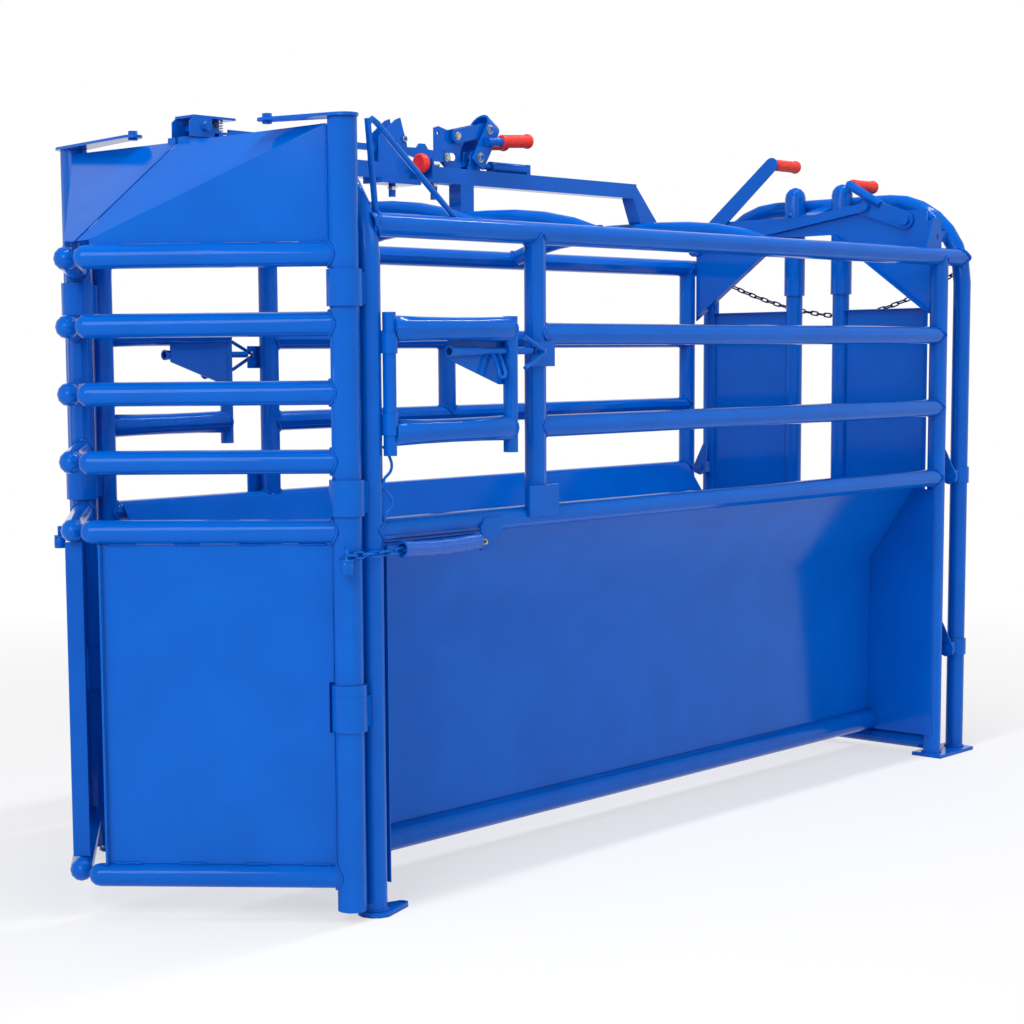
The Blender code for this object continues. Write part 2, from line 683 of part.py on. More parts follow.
def gate_frame_matrix(side):
    """The gate's own axes: X from the post to the tip, Y across the panel, Z up."""
    along = Vector((-math.sin(GATE_ANGLE), -side * math.cos(GATE_ANGLE), 0.0))
    normal = Vector((0, 0, 1)).cross(along)
    matrix = Matrix((along, normal, (0, 0, 1))).transposed().to_4x4()
    return Matrix.Translation((GATE_POST_X, side * HALF_WIDTH, 0.0)) @ matrix


def in_gate(matrix, u, v, z):
    return matrix @ Vector((u, v, z))


def build_gate(side, word, hinge):
    frame = gate_frame_matrix(side)
    y = side * HALF_WIDTH
    low, high = GATE_POST_Z
    post = rod((GATE_POST_X, y, low), (GATE_POST_X, y, high), POST_R, SIDES, "gate_post")
    ball_at = GATE_LENGTH - RAIL_R
    for z in (*GATE_RAIL_Z, GATE_BOTTOM_Z):
        start, end = in_gate(frame, 0.0, 0.0, z), in_gate(frame, ball_at, 0.0, z)
        join(post, domed(start, end, RAIL_R, "gate_rail"))
    ring_low = COLLAR_Z[2][1] + GAP
    join(post, ring_on_post(GATE_POST_X, y, ring_low, ring_low + STOP_RING_H, COLLAR_R, "stop_ring"))
    # Lug for the opening spring, behind and outside the post
    tip = (GATE_POST_X + LUG_BACK, y + side * LUG_OUT)
    lug = flat(stadium((GATE_POST_X, y), tip, 0.018, LUG_R), PLATE, facing_z(LUG_Z - 0.0110), "spring_lug")
    lug_pin = rod((*tip, LUG_Z - 0.012), (*tip, LUG_Z + 0.012), LUG_PIN_R, 12, "lug_pin")
    join(post, lug, lug_pin)
    # Bores: the post is open at its foot, and each rail opens into it
    cut(post, rod((GATE_POST_X, y, low - 0.01), (GATE_POST_X, y, high - WALL), POST_R - WALL))
    for z in (*GATE_RAIL_Z, GATE_BOTTOM_Z):
        bore = rod(in_gate(frame, 0.0, 0.0, z), in_gate(frame, ball_at - 0.02, 0.0, z), RAIL_R - WALL, 8, "bore")
        cut(post, bore)
    keep(post, word + "_gate_frame", BLUE, hinge)

    # Sheet between the fifth rail and the bottom rail, notched round the lowest collar
    face = POST_R + GAP
    floor_z = GATE_BOTTOM_Z + RAIL_R + GAP
    roof_z = GATE_RAIL_Z[4] - RAIL_R - GAP
    notch = COLLAR_R + 0.004
    notch_low, notch_high = COLLAR_Z[2][0] - 0.004, ring_low + STOP_RING_H + 0.004
    outline = [(face, floor_z), (GATE_BAR_END, floor_z), (GATE_BAR_END, roof_z), (face, roof_z),
               (face, notch_high), (notch, notch_high), (notch, notch_low), (face, notch_low)]
    upright = frame @ Matrix(((1, 0, 0, 0), (0, 0, -1, 0), (0, 1, 0, 0), (0, 0, 0, 1)))
    sheet = flat(outline, SHEET, upright, "gate_sheet")
    strip = flat([(GATE_BAR_END - 0.004, floor_z), (GATE_BAR_END, floor_z), (GATE_BAR_END, roof_z),
                  (GATE_BAR_END - 0.004, roof_z)], 0.034, upright, "tip_strip")
    join(sheet, strip)
    keep(sheet, word + "_gate_sheet", BLUE, hinge)

    # Hood: an upright triangle over the top rail and a facet that slopes up to the latch
    base = GATE_RAIL_Z[0] + RAIL_R + GAP
    tip_u = GATE_BAR_END + 0.004
    u_post = POST_R + GAP + 0.001
    triangle = flat([(u_post, base), (tip_u, base), (tip_u, HOOD_TIP_Z), (u_post, HOOD_TOP_Z)], SHEET,
                    upright, "hood_side")
    slit = -side * HOOD_SLIT
    tip_point = in_gate(frame, tip_u - 0.001, 0.0, HOOD_TIP_Z - 0.0012)
    post_point = in_gate(frame, u_post + 0.001, 0.0, HOOD_TOP_Z - 0.0012)
    slit_tip = Vector((tip_point.x - 0.006, -slit, HOOD_TIP_Z - 0.004))
    back = Vector((HOOD_LATCH_X, -slit, 0.0))
    n = (post_point - tip_point).cross(slit_tip - tip_point)
    back.z = tip_point.z - ((back.x - tip_point.x) * n.x + (back.y - tip_point.y) * n.y) / n.z
    facet = plate_through([tip_point, post_point, back, slit_tip], SHEET, "hood_facet")
    tongue_z = LATCH_Z[0] - 0.0035
    inner, outer = HOOD_SLIT, LATCH_HALF - 0.002
    catch_y = side * (inner + outer) / 2
    shape = [(HOOD_LATCH_X - 0.004, back.z - 0.003), (HOOD_LATCH_X + 0.006, back.z - 0.003),
             (HOOD_LATCH_X + 0.006, tongue_z - 0.002), (CATCH_X + 0.014, tongue_z - 0.002),
             (CATCH_X + 0.014, tongue_z + 0.002), (HOOD_LATCH_X - 0.004, tongue_z + 0.002)]
    tongue = flat(shape, outer - inner, facing_y(catch_y), "tongue")
    catch = rod((CATCH_X, catch_y, tongue_z), (CATCH_X, catch_y, tongue_z + CATCH_RISE), CATCH_R, SIDES, "catch")
    join(triangle, facet, tongue, catch)
    keep(triangle, word + "_gate_hood", BLUE, hinge)

    # Arm on the post's cap
    reach = NEAR_ARM_REACH if side < 0 else FAR_ARM_REACH
    start = (GATE_POST_X - 0.006, y + side * 0.010)
    end = (GATE_POST_X - 0.060, y - side * reach)
    arm_z = GATE_POST_Z[1] + GAP + ARM_T / 2
    arm = flat(stadium(start, end, 0.030, 0.020), ARM_T, facing_z(arm_z), "gate_arm")
    bolt = rod((end[0], end[1], arm_z - 0.008), (end[0], end[1], arm_z + 0.012), 0.010, 6, "arm_bolt")
    join(arm, bolt)
    keep(arm, word + "_gate_arm", BLUE, hinge)


def build_spring_set(side, word):
    y = side * (HALF_WIDTH + LUG_OUT)
    start = GATE_POST_X + LUG_BACK + LUG_PIN_R + GAP
    end = SLEEVE_X[0] + 0.020
    chain = bent([(start + (end - start) * i / 8, y, SPRING_Z) for i in range(9)], CHAIN_R, "chain", 2)
    keep(chain, word + "_spring_chain", CHAIN)
    x0, x1 = SLEEVE_X
    plain = 2 * SLEEVE_R
    pitch = (x1 - x0 - 2 * plain) / SLEEVE_RIBS
    points, radii = [(x0, y, SPRING_Z)], [1.0]
    for i in range(SLEEVE_RIBS + 1):
        points.append((x0 + plain + i * pitch, y, SPRING_Z))
        radii.append(1.0)
        if i < SLEEVE_RIBS:
            points.append((x0 + plain + (i + 0.5) * pitch, y, SPRING_Z))
            radii.append(1.0 - SLEEVE_RIB_H / SLEEVE_R)
    points.append((x1, y, SPRING_Z))
    radii.append(1.0)
    sleeve = bent(points, SLEEVE_R, "spring_sleeve", 2, radii=radii)
    cut(sleeve, rod((x0 - 0.01, y, SPRING_Z), (x1 + 0.01, y, SPRING_Z), SLEEVE_BORE, 12, "sleeve_bore"))
    keep(sleeve, word + "_spring_sleeve", RUBBER)


def door_rail(start, end, y, z, radius, resolution, name):
    """A round rail pressed taller and thinner toward the door's two ends."""
    steps = 4
    rail = bent([(start + (end - start) * i / steps, 0.0, 0.0) for i in range(steps + 1)], radius, name, resolution)
    for vertex in rail.data.vertices:
        t = (vertex.co.x - DOOR_X) / (DOOR_END_X - DOOR_X)
        press = 1 + (DOOR_RAIL_PRESS - 1) * (2 * t - 1) ** 2
        vertex.co.y /= press
        vertex.co.z *= press
    rail.matrix_local = Matrix.Translation((0.0, y, z))
    return rail


def build_door(side, word, hinge):
    y = side * (HALF_WIDTH + DOOR_OUT)
    low, high = DOOR_Z
    frame = rod((DOOR_X, y, low), (DOOR_X, y, high), DOOR_HINGE_R, SIDES, "door_hinge")
    end_low, end_high = DOOR_END_Z
    end_post = rod((DOOR_END_X, y, end_low), (DOOR_END_X, y, end_high), DOOR_END_R, SIDES, "door_end")
    joined = [end_post]
    for z, (knuckle_low, knuckle_high) in zip(DOOR_RAIL_Z, KNUCKLE_Z):
        rail = door_rail(DOOR_X + 0.004, DOOR_END_X - 0.004, y, z, RAIL_R, 4, "door_rail")
        cut(rail, turning((DOOR_X, y, knuckle_low - SLIDE), (DOOR_X, y, knuckle_high + SLIDE), KNUCKLE_R, SLIDE))
        joined.append(rail)
    barrel = bent([(BARREL_MOUTH, y, BARREL_Z), (BARREL_X[0], y, BARREL_Z), (BARREL_X[1], y, BARREL_Z)], BARREL_R,
                  "bolt_barrel", 4, radii=[1.25, 1.0, 1.0])
    boss = rod((BOSS_X[0], y, BARREL_Z), (BOSS_X[1], y, BARREL_Z), 0.0135, SIDES, "bolt_boss")
    web_end, web_top = GUSSET_LOW[1][0] + 0.014, DOOR_RAIL_Z[0] - 0.0202
    web = [*GUSSET_LOW, (web_end, GUSSET_LOW[1][1]), (web_end, web_top), (GUSSET_LOW[0][0], web_top)]
    web_y = y - side * (BARREL_R + 0.001)
    gusset = flat(web, 0.004, facing_y(web_y), "door_gusset")
    join(frame, *joined, barrel, boss, gusset)
    cut(frame, rod((DOOR_X, y, low - 0.01), (DOOR_X, y, high + 0.01), DOOR_HINGE_R - WALL))
    for z in DOOR_RAIL_Z:
        cut(frame, door_rail(DOOR_X + 0.050, DOOR_END_X - 0.025, y, z, RAIL_R - WALL, 1, "rail_bore"))
        cut(frame, rod((DOOR_END_X - 0.030, y, z), (DOOR_END_X, y, z), 0.008, 8, "rail_vent"))
    cut(frame, rod((DOOR_END_X, y, end_low - 0.01), (DOOR_END_X, y, end_high - WALL), DOOR_END_R - WALL))
    cut(frame, rod((BARREL_MOUTH - 0.01, y, BARREL_Z), (0.46, y, BARREL_Z), BOLT_R + RUN))
    keep(frame, word + "_side_door", BLUE, hinge)

    bolt_low, bolt_high = DOOR_BOLT_X
    bolt = rod((bolt_low, y, BARREL_Z), (bolt_high, y, BARREL_Z), BOLT_R, SIDES, "door_bolt")
    loop = [(LOOP_X - 0.010, y, BARREL_Z - 0.002), (LOOP_X - 0.010, y + side * 0.010, BARREL_Z - 0.018)]
    for i in range(9):
        a = math.pi * i / 8
        loop.append((LOOP_X - 0.010 * math.cos(a), y + side * 0.020, BARREL_Z - 0.045 - 0.010 * math.sin(a)))
    loop += [(LOOP_X + 0.010, y + side * 0.010, BARREL_Z - 0.018), (LOOP_X + 0.010, y, BARREL_Z - 0.002)]
    join(bolt, bent(loop, 0.004, "finger_loop", 2))
    slide = pivot(word + "_bolt_axis", (bolt_low, y, BARREL_Z))
    keep(bolt, word + "_door_bolt", BLUE, slide)


def build_tail_header(rear_clear):
    """The header across the rear posts, its corner gussets and the braces to the rear arch."""
    y_end = HALF_WIDTH - HEADER_IN
    header = box((HEADER_X - HEADER_T / 2, -y_end, HEADER_Z[0]), (HEADER_X + HEADER_T / 2, y_end, HEADER_Z[1]),
                 "header")
    post_side = HEADER_POST_IN
    for side in (-1, 1):
        corner = [(post_side, GUSSET_Z), (post_side, 1.500), (HEADER_IN + 0.020, 1.500),
                  (GUSSET_IN, HEADER_Z[0] + 0.004), (GUSSET_IN - 0.008, HEADER_Z[0] - 0.003)]
        outline = [(side * (HALF_WIDTH - inward), z) for inward, z in corner]
        join(header, flat(outline, HEADER_T, facing_x(HEADER_X), "corner_gusset"))
        flange = plate_through([side_point(side, HEADER_X - 0.002, post_side, GUSSET_Z + 0.001),
                                side_point(side, HEADER_X - 0.002, GUSSET_IN, HEADER_Z[0] + 0.001),
                                side_point(side, HEADER_X - 0.022, GUSSET_IN, HEADER_Z[0] + 0.001),
                                side_point(side, HEADER_X - 0.022, post_side + 0.020, GUSSET_Z + 0.016)],
                               0.003, "gusset_flange")
        y0, y1 = sorted((side * (HALF_WIDTH - 0.041), side * (HALF_WIDTH - 0.035)))
        brace = box((HEADER_X, y0, 1.442), (REAR_ARCH_X, y1, 1.472), "end_brace")
        join(header, flange, brace)
    middle = [(HEADER_X - HEADER_T / 2, HEADER_Z[1] - 0.002), (HEADER_X - HEADER_T / 2, HEADER_Z[1] + 0.004),
              (REAR_ARCH_X, ARCH_TOP_Z + 0.006), (REAR_ARCH_X, ARCH_TOP_Z)]
    join(header, flat(middle, 0.055, facing_y(0.0045), "middle_brace"))
    cut(header, rear_clear)
    for side, (inward, height) in ((-1, NEAR_PIVOT), (1, FAR_PIVOT)):
        y = across(side, inward)
        cut(header, rod((HEADER_X - 0.03, y, height), (HEADER_X + 0.03, y, height), PIVOT_R + RUN))
    keep(header, "tail_header", BLUE)


def build_tail_half(side, word, slide):
    y = side * TAIL_POST_Y
    post = rod((TAIL_X, y, TAIL_POST_Z), (TAIL_X, y, TAIL_TOP_Z - POST_R), RAIL_R, SIDES, "tail_tube")
    sleeve = domed((TAIL_X, y, SLEEVE_Z), (TAIL_X, y, TAIL_TOP_Z - POST_R), POST_R, "tail_sleeve")
    hanger_z = HEADER_Z[1] + GAP + HANGER_R
    front = HEADER_X - HEADER_T / 2 + 0.001
    hanger = rod((TAIL_X, y, hanger_z), (front, y, hanger_z), HANGER_R, SIDES, "hanger")
    join(post, sleeve, hanger)
    cut(post, rod((TAIL_X, y, TAIL_POST_Z - 0.01), (TAIL_X, y, TAIL_TOP_Z - 0.05), RAIL_R - WALL))
    keep(post, word + "_tail_post", BLUE, slide)

    outer = side * (HALF_WIDTH - PANEL_OUT)
    inner = y + side * (RAIL_R - 0.004)
    low, high = PANEL_Z
    y0, y1 = sorted((outer, inner))
    front, back = PANEL_X - PANEL_FLANGE, PANEL_X + SHEET / 2
    panel = box((front, y0, low), (back, y1, high), "tail_panel")
    y0, y1 = sorted((outer - side * SHEET, inner - side * 0.01))
    cut(panel, box((front - 0.01, y0, low + SHEET), (back - SHEET, y1, high - SHEET), "tray"))
    cut(panel, rod((TAIL_X, y, 0.0), (TAIL_X, y, 1.7), clear(RAIL_R)))
    keep(panel, word + "_tail_panel", BLUE, slide)


def build_grip(start, direction, name, joint):
    """A ribbed sleeve with a rounded end, pushed on a bar."""
    direction = Vector(direction).normalized()
    start = Vector(start)
    points, radii = [], []
    for along, radius in ((0.0, 0.95), (0.004, 1.0), (0.100, 1.0), (0.106, 1.12), (0.113, 1.12), (0.118, 0.75)):
        points.append(tuple(start + direction * along))
        radii.append(radius)
    grip = bent(points, GRIP_R, name, 4, radii=radii)
    bore_end = start + direction * (GRIP_LENGTH - 0.008 + GAP)
    cut(grip, rod(start - direction * 0.01, bore_end, clear(GRIP_CORE_R)))
    keep(grip, name, RED, joint)


def build_tail_levers(near_joint, far_joint, link_joint):
    back_x = HEADER_X - HEADER_T / 2 - SLIDE
    lever_x = back_x - LEVER_T / 2
    link_x = lever_x - LEVER_T - SLIDE
    near_pivot, near_pin, near_grip = [(across(-1, inward), z) for inward, z in (NEAR_PIVOT, NEAR_JOINT, NEAR_GRIP)]
    far_pivot, far_pin, far_grip = [(across(1, inward), z) for inward, z in (FAR_PIVOT, FAR_JOINT, FAR_GRIP)]

    def pin_at(place, x0, x1, radius, name="pin"):
        return rod((x0, *place), (x1, *place), radius, SIDES, name)

    def lever(outline, pivot_yz, grip_yz, word, joint, bar, holes=()):
        arm = flat(outline, LEVER_T, facing_x(lever_x), "lever_arm", holes)
        boss = pin_at(pivot_yz, lever_x - 0.012, lever_x, 0.0135, "boss")
        pin = pin_at(pivot_yz, lever_x, HEADER_X + HEADER_T / 2 + 0.004, PIVOT_R)
        core_start = (lever_x, *grip_yz)
        core_end = (lever_x + GRIP_OFFSET + GRIP_LENGTH - 0.008, *grip_yz)
        join(arm, boss, pin, rod(core_start, core_end, GRIP_CORE_R, SIDES, "grip_core"), *bar)
        keep(arm, word + "_tail_lever", BLUE, joint)
        build_grip((lever_x + GRIP_OFFSET, *grip_yz), (1, 0, 0), word + "_tail_grip", joint)

    foot = [near_pivot[i] + (near_grip[i] - near_pivot[i]) * HANDLE_START for i in (0, 1)]
    bar = [bent([(lever_x, *foot), (lever_x, *near_grip)], HANDLE_R, "handle_bar", 2)]
    near_arm = stadium(near_pivot, near_pin, LEVER_HALF)
    lever(near_arm, near_pivot, near_grip, "near", near_joint, bar, [circle(near_pin, LINK_PIN_R + RUN, SIDES)])
    far_arm = stadium(far_pin, far_grip, LEVER_HALF, LEVER_HALF - 0.004)
    lever(far_arm, far_pivot, far_grip, "far", far_joint, [])

    link = flat(stadium(near_pin, far_pin, LINK_HALF), LEVER_T, facing_x(link_x), "link")
    for place in (near_pin, far_pin):
        join(link, pin_at(place, link_x - LEVER_T / 2 - 0.006, link_x, 0.011, "link_bolt"))
    join(link, pin_at(near_pin, link_x, lever_x + LEVER_T / 2 + 0.003, LINK_PIN_R, "link_pin"))
    keep(link, "tail_link", BLUE, link_joint)


def build_release_beam():
    """Beam on the middle plane, with its post, rear leg, cheeks, lever lug and plunger guide."""
    x0, x1 = BEAM_X
    low, high = BEAM_Z
    beam = box((x0, -BEAM_HALF, low), (x1, BEAM_HALF, high), "beam")
    post_low = HOOP_RISE_Z + HOOP_R * 0.3
    post = box((BEAM_POST_X[0], -BEAM_HALF, post_low), (BEAM_POST_X[1], BEAM_HALF, low + 0.004), "beam_post")
    leg_shape = [(x1 - 0.006, high), (1.487, HOOP_RISE_Z + HOOP_R + 0.006), (1.425, HOOP_RISE_Z + 0.004),
                 (x1 - 0.012, low)]
    leg = flat(leg_shape, 2 * BEAM_HALF, facing_y(0.0), "rear_leg")
    join(beam, post, leg)
    bore = box((x0 - 0.01, -BEAM_HALF + WALL, low + WALL), (x1 - 0.02, BEAM_HALF - WALL, high - WALL), "bore")
    cut(beam, bore)
    for x in HOOP_X[1:]:
        cut(beam, rod((x, -0.1, HOOP_RISE_Z), (x, 0.1, HOOP_RISE_Z), clear(HOOP_R)))

    # Notched cheeks either side of the pull rod
    c0, c1 = CHEEK_X
    shape = [(c0, high - 0.002), (c1, high - 0.002), (c1 - 0.004, high + 0.044), (c0 + 0.070, high + 0.103),
             (c0 + 0.056, high + 0.098), (c0 + 0.002, high + 0.058)]
    notch = [(c0 + 0.038, high + 0.049), (c0 + 0.048, high + 0.026), (c0 + 0.058, high + 0.051)]
    for side in (-1, 1):
        join(beam, flat(shape, 0.004, facing_y(side * CHEEK_Y), "cheek", [notch]))
    bolt_z = high + 0.056
    bolt = rod((c1 - 0.014, -CHEEK_Y - 0.008, bolt_z), (c1 - 0.014, CHEEK_Y + 0.008, bolt_z), 0.005, 12, "cheek_bolt")
    flange = box((CHEEK_X[0] - 0.004, -0.030, low - 0.010), (CHEEK_X[1] + 0.030, 0.030, low + 0.002), "flange")
    for x in (0.510, 0.650):
        join(beam, rod((x, 0.0, low - 0.038), (x, 0.0, low + 0.004), 0.0085, 6, "hanging_bolt"))
    join(beam, bolt, flange)

    # Lug pair that the release lever turns on
    px, pz = LEVER_PIVOT
    lug_shape = [(px - 0.028, high - 0.002), (px + 0.016, high - 0.002)] + arc((px, pz), 0.018, -20, 200, 10)
    for side in (-1, 1):
        hole = circle((px, pz), 0.006 + RUN, 12)
        join(beam, flat(lug_shape, 0.004, facing_y(side * 0.0115), "lever_lug", [hole]))

    # Guide that the plunger runs in, on two feet
    g0, g1 = GUIDE_X
    guide = rod((g0, 0, PLUNGER_Z), (g1, 0, PLUNGER_Z), GUIDE_R + 0.001, 20, "plunger_guide")
    foot = box((g0 + 0.004, -0.008, high - 0.002), (g0 + 0.014, 0.008, PLUNGER_Z), "guide_foot")
    stop = box((g1 - 0.010, -0.013, high - 0.002), (g1 + 0.004, 0.013, PLUNGER_Z + 0.012), "guide_stop")
    join(beam, guide, foot, stop)
    cut(beam, rod((g0 - 0.01, 0, PLUNGER_Z), (g1 - 0.012, 0, PLUNGER_Z), PLUNGER_R + RUN, SIDES, "guide_bore"))
    # Bracket on the near face, with the hole that the knob's pin slides in
    kx, ky, kz = KNOB_AT
    bracket = box((kx + KNOB_BRACKET, ky - 0.012, low + 0.006), (kx + KNOB_BRACKET + PLATE, -BEAM_HALF + 0.001,
                                                              kz + 0.012), "knob_bracket")
    join(beam, bracket)
    cut(beam, rod((kx, ky, kz), (kx + 0.1, ky, kz), KNOB_PIN_R + RUN, 12, "knob_hole"))
    keep(beam, "release_beam", BLUE)


def build_release(lever_joint, link_joint, pull_joint, knob_joint):
    px, pz = LEVER_PIVOT
    # Toggle plate with its plunger, on the middle plane
    outline = [(0.652, 1.668), (0.664, 1.672), (0.700, 1.664), (0.742, 1.664), (0.742, 1.5780), (0.690, 1.5780),
               (0.676, 1.588), (0.652, 1.598)]
    slot = stadium((0.704, 1.604), (0.719, 1.604), 0.009, steps=6)
    plate = flat(outline, 0.006, facing_y(0.0), "toggle", [slot, circle((0.664, 1.656), 0.005, 10)])
    neck = box((0.736, -0.003, PLUNGER_Z - 0.006), (px + 0.026, 0.003, PLUNGER_Z + 0.006), "neck")
    plunger = rod((px + 0.022, 0, PLUNGER_Z), (0.905, 0, PLUNGER_Z), PLUNGER_R, SIDES, "plunger")
    upper_pin = rod((PLATE_JOINT[0], -0.018, PLATE_JOINT[1]), (PLATE_JOINT[0], 0.018, PLATE_JOINT[1]), 0.006, 12)
    lower_pin = rod((ROD_JOINT[0], -0.016, ROD_JOINT[1]), (ROD_JOINT[0], 0.016, ROD_JOINT[1]), 0.006, 12)
    join(plate, neck, plunger, upper_pin, lower_pin)
    keep(plate, "toggle_plate", BLUE, pull_joint)

    # Pull rod beside the plate; its nose lies under the pawl's tip and lifts it when pulled
    jx, jz = ROD_JOINT
    half, step_x = 0.0075, PAWL_TIP_X + 0.003
    shape = arc(ROD_JOINT, 0.0150, -130, 130, 8) + [
        (0.622, jz + 0.014), (0.612, 1.6270), (0.594, 1.6270), (0.585, ROD_Z + half + 0.001), (0.540, ROD_Z + half),
        (step_x, ROD_Z + half), (step_x, NOSE_THIN_Z), (PAWL_TIP_X - 0.012, NOSE_THIN_Z),
        (NOSE_X + 0.004, NOSE_HIGH_Z), (NOSE_X, NOSE_HIGH_Z), (NOSE_X, NOSE_LOW_Z), (step_x + 0.008, NOSE_LOW_Z),
        (step_x + 0.020, ROD_Z - half), (0.540, ROD_Z - half), (0.600, jz - 0.012)]
    bar = flat(shape, ROD_T, facing_y(ROD_Y), "pull_rod", [circle((jx, jz), 0.006 + RUN, 12)])
    keep(bar, "release_rod", BLUE, pull_joint)

    # Lever: a strap bent over into a loop, with two handles
    width = LEVER_WIDTH
    inner, outer = 0.0235, 0.0290
    top = pz + LEVER_REACH - outer
    loop = [(-outer, pz - 0.018), (-inner, pz - 0.018)]
    loop += [(y, z) for y, z in arc((0.0, top), inner, 180, 0, 10)]
    loop += [(inner, pz - 0.018), (outer, pz - 0.018)]
    loop += [(y, z) for y, z in arc((0.0, top), outer, 0, 180, 10)]
    tilt = Matrix.Translation((px, 0, pz)) @ Matrix.Rotation(LEVER_TILT, 4, "Y") @ Matrix.Translation((-px, 0, -pz))
    strap = flat(loop, width, tilt @ facing_x(px + 0.002), "lever_strap")
    pin = rod((px, -outer - 0.008, pz), (px, outer + 0.008, pz), 0.006, SIDES, "lever_pin")
    link_pin = rod((LINK_JOINT[0], -outer - 0.008, LINK_JOINT[1]), (LINK_JOINT[0], outer + 0.008, LINK_JOINT[1]),
                   0.006, SIDES, "link_pin")
    join(strap, pin, link_pin)
    handle = Vector((1.0, 0.0, HANDLE_RISE)).normalized()
    core_r = GRIP_CORE_R - 0.002
    for side, word in ((-1, "near"), (1, "far")):
        root = Vector((HANDLE_ROOT[0], side * (outer - 0.002 + 0.011), HANDLE_ROOT[1]))
        core_end = root + handle * (HANDLE_BARE + HANDLE_GRIP - 0.010)
        join(strap, rod(tuple(root), tuple(core_end), core_r, SIDES, "handle"))
        start = root + handle * HANDLE_BARE
        points = [tuple(start)] + [tuple(start + handle * (HANDLE_GRIP - d)) for d in (0.018, 0.012, 0.005, 0.0)]
        grip = bent(points, GRIP_R - 0.001, "grip", 4, radii=[1.0, 1.0, 1.12, 1.12, 0.75])
        cut(grip, rod(tuple(start - handle * 0.01), tuple(core_end + handle * GAP), clear(core_r)))
        keep(grip, "release_grip_" + word, RED, lever_joint)
    keep(strap, "release_lever", BLUE, lever_joint)

    # Link from the toggle plate to the lever, in a pair of thin straps joined by a spacer
    link_y = 0.0145
    holes = [circle(PLATE_JOINT, 0.006 + RUN, 12), circle(LINK_JOINT, 0.006 + SLIDE, 12)]
    outline = stadium(PLATE_JOINT, LINK_JOINT, 0.0165)
    links = flat(outline, 0.005, facing_y(-link_y), "link", holes)
    other = flat(outline, 0.005, facing_y(link_y), "link_far", holes)
    mid = [(PLATE_JOINT[i] * 0.35 + LINK_JOINT[i] * 0.65) for i in (0, 1)]
    spacer = rod((mid[0] + 0.004, -link_y, mid[1] + 0.008), (mid[0] + 0.004, link_y, mid[1] + 0.008), 0.006, 12)
    join(links, other, spacer)
    keep(links, "release_link", BLUE, link_joint)

    # Knob on its pull pin
    kx, ky, kz = KNOB_AT
    knob = rod((kx, ky, kz), (kx + KNOB_LENGTH, ky, kz), KNOB_R, 24, "knob_rim")
    pin = rod((kx + KNOB_LENGTH - 0.004, ky, kz), (kx + KNOB_BRACKET + 0.034, ky, kz), KNOB_PIN_R, 12, "knob_pin")
    join(knob, pin)
    keep(knob, "release_knob", RED, knob_joint)


